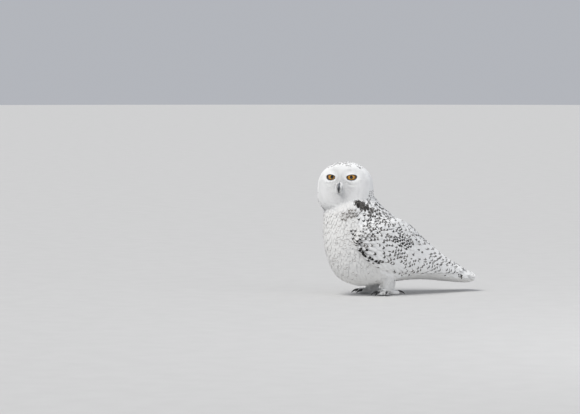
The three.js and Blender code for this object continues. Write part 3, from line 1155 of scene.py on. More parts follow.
class Feathers:
    """Grows feathers from roots, each a lens on a curve from the skin to the outer form."""

    def __init__(self, skin: Skin, seed: int = 11) -> None:
        """Keeps the skin and starts the run of chance.

        Args:
            skin: the skin, already built.
            seed: what the chance starts from.
        """
        self.skin = skin
        self.chance = np.random.default_rng(seed)
        self.grown: list[tuple[Array, Array]] = []

    def spread(self, count: int, amount: float) -> Array:
        """Numbers about 0, within plus or minus the amount."""
        return (self.chance.random(count) * 2 - 1) * amount

    def curves(self, roots: Roots, lift: float) -> tuple[Array, Array, Array, Array, Array]:
        """The centre lines: quadratic curves from the skin, through a middle point, to the outer form.

        Args:
            roots: the feathers' roots.
            lift: how far the tips stand over the outer form.

        Returns:
            The curves' three control points, and the normals at root and tip.
        """
        n = len(roots.at)
        outer, under = self.skin.outer, self.skin.under
        start, normal = outer.nearest(roots.at)
        lie = flatten_on(roots.lie, normal)
        side = np.cross(lie, normal)
        lie = unit(lie + side * self.spread(n, 0.07)[:, None])
        base, _ = under.nearest(start)
        long = (roots.long * (1 + self.spread(n, 0.08)))[:, None]
        tip, tip_normal = outer.nearest(start + lie * long)
        rise = (lift + roots.proud + self.spread(n, 0.5))[:, None]
        tip = tip + tip_normal * rise
        base = base + (start - base) * roots.shallow[:, None]
        middle, middle_normal = outer.nearest(start + lie * long * 0.5)
        deep = np.linalg.norm(start - base, axis=1, keepdims=True)
        middle = middle - middle_normal * (0.25 * deep - 0.7 * rise)
        base = base - normal * 0.8
        bend = 2 * middle - 0.5 * (base + tip)
        self.grown.append((base, roots.mark * (roots.bars > 0)))
        return base, bend, tip, normal, tip_normal

    def grow(self, name: str, roots: Roots, vane: Vane, lift: float = 0.0) -> bpy.types.Object:
        """One joined piece of feathers.

        Each vertex lies at the curve's point for its distance along, plus its distance across
        times the half width on the side direction, less the cup times the square of its
        distance across on the normal; lower vertices are one thickness further in.

        Args:
            name: the piece's name.
            roots: the feathers' roots.
            vane: the shape of each.
            lift: how far the tips stand over the outer form.

        Returns:
            The object.
        """
        n = len(roots.at)
        across, along, lower, _ = vane.plan()
        p0, p1, p2, n0, n2 = (a[:, None, :] for a in self.curves(roots, lift))
        rough = self.chance.random((n, len(along))) - 0.5
        t = vane.rounded(along, across)[None, :] + rough * vane.ragged * (along > 0.6)
        t = t[..., None]
        centre = (1 - t) ** 2 * p0 + 2 * t * (1 - t) * p1 + t**2 * p2
        forward = unit((1 - t) * (p1 - p0) + t * (p2 - p1))
        up = flatten_on((1 - t) * n0 + t * n2, forward)
        side = np.cross(forward, up)
        half = (roots.wide / 2)[:, None] * vane.half_width(along)[None, :]
        drop = vane.cup * (across**2)[None, :] * roots.wide[:, None]
        drop = drop + np.where(lower, vane.thick, 0.0)[None, :] * roots.wide[:, None]
        points = centre + side * (across[None, :] * half)[..., None] - up * drop[..., None]
        points[..., 2] = np.maximum(points[..., 2], GROUND_GAP)
        return self.join(name, points, roots, vane)

    def join(self, name: str, points: Array, roots: Roots, vane: Vane) -> bpy.types.Object:
        """Joins vanes into one piece, with their marks on the vertices and both maps.

        Args:
            name: the piece's name.
            points: the vertices by feather, each feather's in the order of the vane's plan.
            roots: the feathers' roots.
            vane: the shape of each.

        Returns:
            The object.
        """
        across, along, _, faces = vane.plan()
        n, count, _ = points.shape
        all_faces = (faces[None] + (np.arange(n) * count)[:, None, None]).reshape(-1, 4)
        piece = make_mesh(name, points.reshape(-1, 3), all_faces, vane.sharp)
        for mark in ("mark", "bar_at", "bar_gap", "bars", "bar_half", "bar_span", "tone"):
            carry(piece, mark, np.repeat(getattr(roots, mark), count))
        self.map(piece, roots, across, along, faces)
        return piece

    def map(self, piece: bpy.types.Object, roots: Roots, across: Array, along: Array, faces: Array) -> None:
        """Writes the two maps: the vane's own, and the patches that colours are baked to.

        For the bake, feathers are sorted by the first number of their unwrap into columns and by
        the second inside each, and each takes a patch in its cell.

        Args:
            piece: the joined feathers.
            roots: the feathers' roots.
            across: each vertex's place across its vane.
            along: each vertex's place along it.
            faces: the piece's faces.
        """
        n = len(roots.at)
        corner = faces.ravel()
        own = np.stack([(across[corner] + 1) / 2, along[corner]], axis=1)
        layer = piece.data.uv_layers.new(name="vane")
        layer.data.foreach_set("uv", np.tile(own, (n, 1)).astype(np.float32).ravel())
        layer.active = True
        columns = max(int(math.sqrt(n)), 1)
        high = -(-n // columns)
        order = np.argsort(roots.unwrap[:, 0], kind="stable")
        column = np.empty(n, int)
        column[order] = np.arange(n) // high
        rank = np.empty(n, int)
        sorted_by_both = np.lexsort((roots.unwrap[:, 1], column))
        rank[sorted_by_both] = np.arange(n)
        row = rank - column * high
        columns = int(column.max()) + 1
        wide, tall = 0.98 / columns, 0.98 / high
        barred = (roots.mark > 0)[:, None]
        size = np.where(barred, np.array([[wide, tall]]) * 0.86, np.minimum([[wide, tall]], 0.0032) * 0.9)
        corner_at = np.stack([0.01 + (column + 0.5) * wide, 0.01 + (row + 0.5) * tall], axis=1) - size / 2
        bake = piece.data.uv_layers.new(name="OFBake")
        shown = np.stack([(across[corner] + 1) / 2, along[corner]], axis=1)
        places = corner_at[:, None, :] + shown[None] * size[:, None, :]
        bake.data.foreach_set("uv", places.astype(np.float32).ravel())


# ---------------------------------------------------------------- tracts


def evenly(line: Array, values: Array, pitch: float, fewest: int, shift: float) -> Array:
    """Values at even distances along a line of points.

    Args:
        line: points along the line.
        values: a rising number at each point.
        pitch: the wanted distance, in millimetres.
        fewest: the least number of places.
        shift: how far along the first place is, in places.

    Returns:
        The value at each place.
    """
    arc = np.concatenate([[0], np.cumsum(np.linalg.norm(np.diff(line, axis=0), axis=1))])
    count = max(int(arc[-1] / pitch), fewest)
    return np.interp((np.arange(count) + shift) / count * arc[-1], arc, values)


@dataclass
class BodyCoat:
    """Contour feathers of the neck, back, breast, belly and vent, in staggered rows."""

    torso: Torso
    feathers: Feathers
    pitch_along: float = 7.6
    pitch_round: float = 8.6
    long: float = 31.0
    wide: float = 14.5
    last_station: float = 10.7
    top: float = 292.0
    reach: float = 4.0
    vane: Vane = Vane(rows=6, columns=5, cup=0.05, tip=0.42, thick=0.02)

    def rows(self) -> tuple[Array, Array]:
        """Stations and angles of staggered rows, evenly spaced in millimetres over the body.

        Returns:
            The stations and the angles.
        """
        fine = np.linspace(0.0, self.last_station, 600)
        lines = [self.torso.point(fine, angle) for angle in (0.5, 1.6, 2.6)]
        steps = np.mean([np.linalg.norm(np.diff(line, axis=0), axis=1) for line in lines], axis=0)
        run = np.concatenate([[0], np.cumsum(steps)])
        places = np.interp(np.arange(0, run[-1], self.pitch_along), run, fine)
        angle = np.linspace(-math.pi, math.pi, 361)
        rings = [self.torso.point(np.full(361, place), angle) for place in places]
        angles = [evenly(ring, angle, self.pitch_round, 6, 0.5 * (k % 2)) for k, ring in enumerate(rings)]
        return np.repeat(places, [len(ring) for ring in angles]), np.concatenate(angles)

    def roots(self) -> tuple[Roots, Array, Array]:
        """The roots where the body shows, with their stations and angles in degrees.

        Returns:
            The roots, the stations and the angles.
        """
        station, angle = self.rows()
        n = len(station)
        f = self.feathers
        station = station + f.spread(n, 0.02)
        angle = angle + f.spread(n, 0.02)
        sign = np.sign(angle)[:, None] * np.array([[1.0, 0, 0]]) + np.array([[0, 1.0, 1.0]])
        unsigned = np.abs(angle)
        at, lie, normal = (
            way(station, unsigned) * sign for way in (self.torso.point, self.torso.lie, self.torso.normal)
        )
        near, facing = f.skin.outer.nearest(at)
        shown = (np.linalg.norm(near - at, axis=1) < self.reach) & (np.sum(facing * normal, axis=1) > 0.3)
        degrees = np.degrees(unsigned)
        shown &= (station < 9.4 + 1.1 * ease(degrees, 95, 130)) & (at[:, 2] < self.top)
        young = ease(station, 0.3, 2.2)
        size = 0.74 + 0.26 * young + 0.25 * ease(station, 6.5, 9.0) * (degrees > 60)
        wide = self.wide * (0.8 + 0.2 * young)
        roots = Roots(at, lie, self.long * size, wide, np.stack([station, angle], axis=1))
        return roots.take(shown), station[shown], np.where(angle < 0, -degrees, degrees)[shown]


@dataclass
class HeadCoat:
    """The close feathers of the crown, nape, cheeks and throat, lying back from the face."""

    frame: HeadFrame
    feathers: Feathers
    pitch: float = 4.2
    long: float = 17.0
    wide: float = 8.4
    radius: float = 72.0
    face_edge: float = 50.0
    furthest: float = 98.0
    lowest: float = -66.0
    vane: Vane = Vane(rows=5, columns=4, cup=0.05, tip=0.40, thick=0.02)

    def roots(self) -> Roots:
        """Roots on rings about the face's axis, from the face's edge to the nape.

        Returns:
            The roots; each lies away from the face, drawn down a little on the crown and more on
            the cheeks and nape.
        """
        rings = np.radians(np.arange(self.face_edge, 180, math.degrees(self.pitch / self.radius)))
        counts = 2 * math.pi * self.radius * np.sin(rings) / (self.pitch * 1.08)
        counts = np.maximum(counts.astype(int), 3)
        polar = np.repeat(rings, counts)
        number = np.concatenate([np.arange(c) for c in counts])
        shift = np.repeat(0.5 * (np.arange(len(rings)) % 2), counts)
        around = 2 * math.pi * (number + shift) / np.repeat(counts, counts)
        way = [np.sin(polar) * np.sin(around), -np.cos(polar), np.sin(polar) * np.cos(around)]
        outward = self.frame.way(np.stack(way, axis=1))
        start = np.repeat(self.frame.out(np.zeros((1, 3))), len(outward), axis=0)
        at, normal, found = self.feathers.skin.outer.met(start, outward)
        local = self.frame.into(at)
        pull = 0.15 + 1.5 * ease(-local[:, 2], -30, 50)
        back = np.repeat(self.frame.way(np.array([[0, 1.0, 0]])), len(at), axis=0)
        lie = back - pull[:, None] * UP
        keep = found & (np.linalg.norm(local, axis=1) < self.furthest) & (local[:, 2] > self.lowest)
        size = 0.62 + 0.38 * ease(polar, math.radians(48), math.radians(80))
        unwrap = np.stack([around, polar], axis=1)
        roots = Roots(at, flatten_on(lie, normal), self.long * size, self.wide * size, unwrap)
        roots.proud = -1.6 * ease(polar, math.radians(74), math.radians(54))
        return roots.take(keep)


@dataclass
class FaceCoat:
    """The fine feathers of the face, which spread from the bill and round each eye."""

    frame: HeadFrame
    feathers: Feathers
    pitch: float = 2.05
    reach: float = 66.0
    long: float = 11.0
    wide: float = 2.5
    lid: tuple[float, float] = (14.3, 8.3)
    eye_pull: float = 21.0
    vane: Vane = Vane(
        rows=5, columns=3, cup=0.05, tip=0.35, thick=0.02, root_share=0.5, tip_share=0.45
    )

    def from_eye(self, local: Array, sign: int) -> Array:
        """How far places are from an eye: across its own face, 0, and up.

        Args:
            local: the places, in the head's frame.
            sign: the sign that X has on the eye's side.

        Returns:
            The distances as vectors.
        """
        across, forward, up = self.frame.eye
        c, s = math.cos(self.frame.eye_splay), math.sin(self.frame.eye_splay)
        aside = c * (local[:, 0] - sign * across) + sign * s * (local[:, 1] - forward)
        return np.stack([aside, np.zeros(len(local)), local[:, 2] - up], axis=1)

    def clear_of_bill(self, local: Array) -> Array:
        """Truths for the places that are not on the bill: a band down the middle, and its tip.

        Args:
            local: places in the head's frame.

        Returns:
            The truths.
        """
        x, y, z = np.abs(local[:, 0]), local[:, 1], local[:, 2]
        band = (x > 3.2) | (z > 7) | (z < -15)
        return band & ~((y < -62.5) & (x < 6.5) & (z < -3) & (z > -23))

    def shade(self, x: Array, z: Array) -> Array:
        """Painted shade on the face: most in the hollow at the bridge of the bill, a little in the fold
        under the eyes.

        Args:
            x: places across, in the head's frame.
            z: places up.

        Returns:
            The shares of painted shade.
        """
        bridge = 0.22 * np.exp(-((np.hypot(x / 13.0, (z - 4.0) / 15.0)) ** 2))
        fold = np.exp(-(((z + 5.0 + 0.004 * x**2) / 4.5) ** 2))
        fold *= ease(np.abs(x), 7, 13) * ease(np.abs(x), 44, 30)
        return np.maximum(bridge, 0.07 * fold)

    def roots(self) -> Roots:
        """Roots on a staggered grid over the front of the head.

        Returns:
            The roots; near an eye each lies away from it, elsewhere away from the bill.
        """
        f = self.feathers
        across = np.arange(-self.reach, self.reach, self.pitch)
        x, row = np.meshgrid(across, np.arange(62), indexing="ij")
        x = (x + (row % 2) * self.pitch / 2).ravel()
        z = (-self.reach + row * self.pitch).ravel()
        n = len(x)
        x = x + f.spread(n, 0.5)
        z = z + f.spread(n, 0.5)
        at, normal, found = f.skin.outer.met(*self.frame.rays(x, z))
        local = self.frame.into(at)
        polar = np.degrees(np.arccos(np.clip(-unit(local)[:, 1], -1, 1)))
        keep = found & (polar < 66 - 15 * ease(local[:, 2], 38, 52)) & (local[:, 1] < -10)
        from_bill = local[:, 2] - self.frame.bill_up
        lie = unit(np.stack([local[:, 0], np.zeros(n), from_bill], axis=1))
        by_eye = np.zeros(n)
        for side in Side:
            off = self.from_eye(local, side.value)
            near = np.exp(-((np.linalg.norm(off, axis=1) / self.eye_pull) ** 2))[:, None]
            lie = unit(lie * (1 - near) + unit(off) * near * 1.6)
            ring = np.hypot(off[:, 0] / self.lid[0], off[:, 2] / self.lid[1])
            by_eye = np.maximum(by_eye, ease(ring, 2.1, 1.25))
            keep &= ring > 1
        keep &= self.clear_of_bill(local)
        lie = self.frame.way(lie) + ease(-local[:, 2], 0, 50)[:, None] * np.array([[0, 0, -0.5]])
        grown = 0.75 + 0.45 * ease(polar, 20, 60)
        unwrap = np.stack([x, z], axis=1)
        roots = Roots(at, flatten_on(lie, normal), self.long * grown, self.wide * grown, unwrap)
        ruff = np.exp(-(((np.hypot(local[:, 0], from_bill) - 17.0) / 6.0) ** 2))
        roots.proud = 1.3 * ruff * ease(local[:, 2], 14, 2) + 0.5 * by_eye
        # Painted shade: the face feathers grey in the hollow over the bill and in the fold under the eyes.
        roots.tone = self.shade(local[:, 0], local[:, 2])
        roots.shallow = by_eye * 0.93
        return roots.take(keep)


@dataclass
class Bristles:
    """The stiff hair-like feathers that lie over the sides of the bill."""

    frame: HeadFrame
    feathers: Feathers
    long: float = 15.0
    wide: float = 1.9
    count: int = 340
    highest: float = 13.0
    fall: float = 27.0
    vane: Vane = Vane(
        rows=6, columns=3, cup=0.05, tip=0.2, thick=0.03, root_share=0.8, tip_share=0.3, ragged=0.02
    )

    def build(self) -> bpy.types.Object:
        """Bristles from beside the bill: each starts on the lore and curves forward and down over it.

        Returns:
            The object.
        """
        f = self.feathers
        n = self.count
        share = (np.arange(n) + 0.5) / n
        side = np.where(np.arange(n) % 2 == 0, 1.0, -1.0)
        z = self.highest - self.fall * share + f.spread(n, 1.4)
        x = side * (1.9 + 2.4 * share + f.chance.random(n) ** 1.5 * 8.5)
        at, normal, _ = f.skin.outer.met(*self.frame.rays(x, z))
        lie = np.stack([side * (-0.05 + 0.45 * share), np.full(n, -0.45), np.full(n, -1.0)], axis=1)
        long = self.long * (1 - 0.5 * share) * (0.85 + 0.3 * f.chance.random(n))
        lie = flatten_on(self.frame.way(lie), normal)
        roots = Roots(at, lie, long, self.wide, np.stack([x, z], axis=1))
        near = ease(np.abs(x), 9.0, 3.0)
        roots.proud = 0.5 + f.chance.random(n) * (1.0 + 4.2 * near)
        roots.tone = f.chance.random(n) * 0.22
        return f.grow("bill_bristles", roots, self.vane, 0.4)


@dataclass
class WingCoverts:
    """The small and middle feathers of the folded wing, in rows that grow from the wrist back."""

    wing: FoldedWing
    feathers: Feathers
    side: Side
    long: float = 42.0
    wide: float = 15.5
    wing_long: float = 330.0
    first: float = 0.02
    last: float = 0.77
    vane: Vane = Vane(rows=7, columns=5, cup=0.045, tip=0.36, thick=0.018)

    def slope(self, share: Array, down: Array) -> Array:
        """How far below level the feathers point, in radians.

        Args:
            share: places along the wing.
            down: places down it.

        Returns:
            The slopes: almost level at the wrist, steep in the middle, less so on the lower rows.
        """
        steep = 30.0 + 30.0 * ease(share, 0.10, 0.24) * ease(down, 0.80, 0.45)
        wrist = ease(down, 0.70, 0.95) * ease(share, 0.42, 0.25)
        low = ease(share, 0.36, 0.50) * ease(down, 0.45, 0.75)
        return np.radians(steep * (1 - wrist) * (1 - low) + 8.0 * wrist + 24.0 * low * (1 - wrist))

    def rows(self) -> tuple[Array, Array]:
        """Shares along the wing and down it of staggered rows, closer together near the wrist.

        Returns:
            The shares along and the shares down.
        """
        shares, downs = [], []
        at = self.first
        fine = np.linspace(0, 1, 120)
        while at < self.last:
            spread = ease(at, 0.05, 0.30)
            line = self.wing.point(np.full(120, at), fine)
            downs.append(evenly(line, fine, 7.0 + 4.0 * spread, 3, 0.25 + 0.5 * (len(downs) % 2)))
            shares.append(np.full(len(downs[-1]), at))
            at += (5.6 + 4.4 * spread) / self.wing_long
        return np.concatenate(shares), np.concatenate(downs)

    def roots(self) -> tuple[Roots, Array, Array]:
        """The roots, with their share along the wing and share down it.

        Returns:
            The roots and both shares.
        """
        f = self.feathers
        s, d = self.rows()
        n = len(s)
        s = s + f.spread(n, 0.004)
        d = np.clip(d + f.spread(n, 0.008), 0.005, 0.995)
        keep = s < 0.55 + 0.20 * ease(d, 0.75, 0.30)
        s, d = s[keep], d[keep]
        place = self.wing.point(s, d, self.side.value)
        slope = self.slope(s, d)
        lie = np.stack([np.zeros(len(s)), np.cos(slope), -np.sin(slope)], axis=1)
        size = 0.42 + 0.58 * ease(s + 0.30 * (1 - d), 0.10, 0.40)
        edge = ease(d, 0.84, 0.97)
        size = size * (1 - 0.25 * edge) * (1 + 0.35 * ease(s, 0.5, 0.7))
        _, normal = f.skin.outer.nearest(place)
        unwrap = np.stack([s, d], axis=1)
        roots = Roots(place, flatten_on(lie, normal), self.long * size, self.wide * size, unwrap)
        roots.shallow = np.full(len(s), 0.15)
        roots.proud = 1.6 * edge * ease(s, 0.05, 0.2)
        return roots, s, d


@dataclass
class Quill:
    """A long feather laid on a sheet: where it starts and ends there, its width and its layer."""

    start: tuple[float, float]
    end: tuple[float, float]
    wide: float
    layer: float
    bow: float = 0.0


@dataclass
class Quills:
    """Lays long feathers on a sheet, each as one closed lens that follows the sheet."""

    feathers: Feathers
    vane: Vane
    root_sink: float = 3.5
    step: float = 0.01
    least_breadth: float = 0.25

    def build(self, name: str, sheet: Sheet, quills: list[Quill], marks: Roots) -> bpy.types.Object:
        """One joined piece of long feathers.

        A vertex lies on the sheet at the quill's line for its distance along, moved across by
        its share of the half width over the sheet's own breadth, at the quill's height: low at
        the root, its layer's height at the tip, less the cup.

        Args:
            name: the piece's name.
            sheet: gives points for (along, across, lift), each an array.
            quills: the feathers, lowest first.
            marks: their marks, in the same order.

        Returns:
            The object.
        """
        vane = self.vane
        across, along, lower, _ = vane.plan()
        start, end = np.array([q.start for q in quills]), np.array([q.end for q in quills])
        wide, layer, bow = np.array([(q.wide, q.layer, q.bow) for q in quills]).T[..., None]
        rough = self.feathers.chance.random((len(quills), len(across))) - 0.5
        t = vane.rounded(along, across)[None, :] + rough * vane.ragged * 0.3 * (along > 0.8)
        line = start[:, None, :] + (end - start)[:, None, :] * t[..., None]
        line[..., 1] += bow * np.sin(np.pi * t)
        flat = np.zeros_like(t)
        low, high = (sheet(line[..., 0], line[..., 1] + step, flat) for step in (-self.step, self.step))
        breadth = np.maximum(np.linalg.norm(high - low, axis=-1) / (2 * self.step), self.least_breadth)
        reach = across[None, :] * wide / 2 * vane.half_width(along)[None, :] / breadth
        lift = layer * ease(t, 0.0, 0.25) - self.root_sink * (1 - ease(t, 0.0, 0.3))
        lift = lift - vane.cup * across[None, :] ** 2 * wide - np.where(lower, vane.thick, 0)[None, :] * wide
        points = sheet(line[..., 0], line[..., 1] + reach, lift)
        return self.feathers.join(name, points, marks, vane)


@dataclass
class FlightFeathers:
    """Secondaries, tertials and primaries of one folded wing."""

    wing: FoldedWing
    feathers: Feathers
    side: Side
    vane: Vane = Vane(
        rows=14, columns=7, cup=0.035, thick=0.018, tip=0.10, root_share=0.5, tip_share=0.86, ragged=0.02
    )

    def plan(self) -> list[Quill]:
        """The quills, lowest first: primaries, then secondaries, then tertials.

        Returns:
            The quills.
        """
        primaries = [
            Quill((0.40, 0.90 - 0.07 * k), (1.0 - 0.045 * k, 0.62 + 0.04 * k), 30.0, -3.4 + 0.35 * k, -0.02)
            for k in range(6)
        ]
        secondaries = [
            Quill((0.34, 0.97 - 0.075 * k), (0.735 + 0.013 * k, 0.96 - 0.082 * k), 31.0, -1.4 + 0.22 * k)
            for k in range(10)
        ]
        tertials = [
            Quill((0.42, 0.34 - 0.10 * k), (0.86 - 0.03 * k, 0.32 - 0.10 * k), 32.0, 0.1 + 0.25 * k)
            for k in range(4)
        ]
        return primaries + secondaries + tertials

    def sheet(self, share: Array, down: Array, lift: Array) -> Array:
        """The wing's face, by share along it and share down it."""
        return self.wing.point(np.clip(share, 0, 1), np.clip(down, 0, 1), self.side.value, lift)

    def build(self) -> bpy.types.Object:
        """The wing's long feathers, with sparse grey spots in rows.

        Returns:
            The object.
        """
        quills = self.plan()
        n = len(quills)
        f = self.feathers
        marks = Roots.of_quills(n)
        upper = ease(np.arange(n), 9, 15)
        marks.mark = 0.62 + 0.35 * f.chance.random(n)
        marks.bar_at = 0.92 + f.spread(n, 0.055)
        marks.bar_gap = 0.11 + f.spread(n, 0.035)
        marks.bars = 3.0 + np.round(5 * upper)
        marks.bar_half = 0.011 + 0.005 * f.chance.random(n)
        marks.bar_span = 0.26 + 0.22 * f.chance.random(n) + 0.16 * upper
        marks.tone = np.full(n, 0.05)
        name = "flight_feathers_" + self.side.name.lower()
        return Quills(f, self.vane).build(name, self.sheet, quills, marks)


@dataclass
class TailFan:
    """The closed tail: its upper feathers in a low tent, the lower ones, and a stack between."""

    torso: Torso
    feathers: Feathers
    deepest: float = -24.5
    layer_step: float = 2.7
    stack_half_angle: float = 105.0
    normal_reach: float = 6.0
    vane: Vane = Vane(
        rows=14, columns=7, cup=0.03, thick=0.018, tip=0.08, root_share=0.6, tip_share=0.9, ragged=0.02
    )

    def stack(self) -> list[Quill]:
        """The feathers inside the tail, deepest first; the outer ones of a layer lie less deep.

        Returns:
            The quills.
        """
        luck = self.feathers.chance.random
        return [
            Quill(
                (8.9, angle),
                (11.0 - 0.16 * luck(), angle),
                17.0,
                (self.deepest + self.layer_step * k) * (1 - (angle / self.stack_half_angle) ** 2),
            )
            for k in range(8)
            for angle in (-64 + 6 * (k % 2) + 21 * number for number in range(7))
        ]

    def upper(self) -> list[Quill]:
        """The upper feathers in pairs, the middle pair last and so on top.

        Returns:
            The quills.
        """
        return [
            Quill((7.9, angle), (11.0 - 0.05 * k, angle * 0.94), 25.0 - 1.6 * k, -0.6 - 0.8 * k)
            for k in range(6, -1, -1)
            for angle in (6 + 15.5 * k, -(6 + 15.5 * k))
        ]

    def lower(self) -> list[Quill]:
        """The feathers on the tail's underside, in pairs from its midline out.

        Returns:
            The quills.
        """
        return [
            Quill((8.6, angle), (10.80 + 0.03 * k, angle), 19.0, -1.6 - 0.6 * k)
            for k in range(5)
            for angle in (168 - 12.0 * k, -(168 - 12.0 * k))
        ]

    def sheet(self, station: Array, degrees: Array, lift: Array) -> Array:
        """The tail's surface by station and signed angle in degrees from the back's midline.

        Args:
            station: places along the body.
            degrees: the angles.
            lift: heights over the surface; past normal_reach inwards they go straight down.

        Returns:
            The points.
        """
        angle = np.radians(degrees)
        place = np.clip(station, 0, self.torso.last)
        inside = np.clip(place, 0.1, self.torso.last - 0.1)
        near = np.maximum(lift, -self.normal_reach)[..., None]
        out = self.torso.point(place, np.abs(angle)) + self.torso.normal(inside, np.abs(angle)) * near
        out[..., 2] += np.minimum(lift + self.normal_reach, 0.0)
        out[..., 0] *= np.where(angle < 0, -1.0, 1.0)
        return out

    def build(self) -> bpy.types.Object:
        """The tail as one piece: each feather follows a line of equal angle.

        Returns:
            The object.
        """
        f = self.feathers
        stack, upper = self.stack(), self.upper()
        quills = stack + upper + self.lower()
        n = len(quills)
        marks = Roots.of_quills(n)
        number = np.arange(n) - len(stack)
        on_top = (number >= 0) & (number < len(upper))
        marks.mark = np.where(on_top, 0.6 + 0.3 * f.chance.random(n), 0.15)
        marks.bar_at = 0.90 + f.spread(n, 0.02)
        marks.bar_gap = np.full(n, 0.17)
        marks.bars = np.full(n, 2.0)
        marks.bar_half = np.full(n, 0.016)
        marks.bar_span = np.full(n, 0.45)
        marks.tone = np.full(n, 0.05)
        return Quills(f, self.vane).build("tail_feathers", self.sheet, quills, marks)


@dataclass
class LegCoat:
    """The soft feathers of the legs and toes."""

    feathers: Feathers
    leg: Stations = ((44, 62, 66, 20, 30), (44, 70, 46, 20, 27), (43, 75, 27, 18, 22), (42, 77, 12, 14, 17))
    leg_rows: int = 20
    leg_columns: int = 26
    toe_rows: int = 16
    vane: Vane = Vane(rows=4, columns=3, cup=0.08, tip=0.35, root_share=0.5, tip_share=0.5)

    def leg_roots(self, side: int) -> Roots:
        """Roots in rows round the leg, lying down it.

        Args:
            side: the sign that X has on this side.

        Returns:
            The roots.
        """
        turns = np.linspace(0, 2 * math.pi, self.leg_columns, endpoint=False)
        share, turn = np.meshgrid(np.linspace(0.0, 1.0, self.leg_rows), turns, indexing="ij")
        turn = turn + (np.arange(self.leg_rows)[:, None] % 2) * math.pi / self.leg_columns
        share, turn = share.ravel(), turn.ravel()
        s = Run(self.leg)(share)
        out = np.stack([np.cos(turn), np.sin(turn), np.zeros(len(turn))], axis=1)
        at = s[:, :3] + out * np.stack([s[:, 3], s[:, 4], s[:, 3]], axis=1)
        lie = out * 0.12 - UP
        sign = np.array([side, 1, 1])
        unwrap = np.stack([share, turn], axis=1)
        return self.shown(Roots(at * sign, lie * sign, 13.0, 5.0, unwrap), out * sign, 6.0)

    def toe_roots(self, side: int) -> Roots:
        """Roots over the tops and sides of the toes, lying towards the claws.

        Args:
            side: the sign that X has on this side.

        Returns:
            The roots.
        """
        sign = np.array([side, 1, 1])
        turns = np.radians(np.linspace(-112, 112, 12))
        share, turn = np.meshgrid(np.linspace(0.05, 0.93, self.toe_rows), turns, indexing="ij")
        turn = turn + (np.arange(self.toe_rows)[:, None] % 2) * math.radians(10)
        share, turn = share.ravel(), turn.ravel()
        end = np.clip((share - 0.8) / 0.22, 0, 1)
        kept = []
        for number, toe in enumerate(TOES.values()):
            way = toe.way()
            across = np.cross(way, UP)
            radius = toe.thick * (1 - 0.12 * share) * np.sqrt(np.clip(1 - end**2, 0.1, 1))
            out = across * np.sin(turn)[:, None] + UP * np.cos(turn)[:, None]
            middle = np.array([*ANKLE, 0.0]) + way * (-6 + (toe.long + 6) * share)[:, None]
            middle[:, 2] = 6.8 + 10.2 * np.clip(1 - share / 0.45, 0, None) ** 1.6
            at = middle + out * radius[:, None]
            lie = np.tile(way - 0.25 * UP, (len(at), 1))
            unwrap = np.stack([number + share, turn], axis=1)
            kept.append(self.shown(Roots(at * sign, lie * sign, 8.0, 3.6, unwrap), out * sign, 3.5))
        return sum(kept[1:], kept[0])

    def shown(self, roots: Roots, out: Array, reach: float) -> Roots:
        """The roots that lie on the outer form and face outwards.

        Args:
            roots: the roots.
            out: the outward direction that each was made with.
            reach: how far from the outer form a root may lie.

        Returns:
            Those that do.
        """
        near, facing = self.feathers.skin.outer.nearest(roots.at)
        close = np.linalg.norm(near - roots.at, axis=1) < reach
        return roots.take(close & (np.sum(facing * out, axis=1) > 0.1) & (roots.at[:, 2] > 0.8))


# ---------------------------------------------------------------- eyes, bill and claws


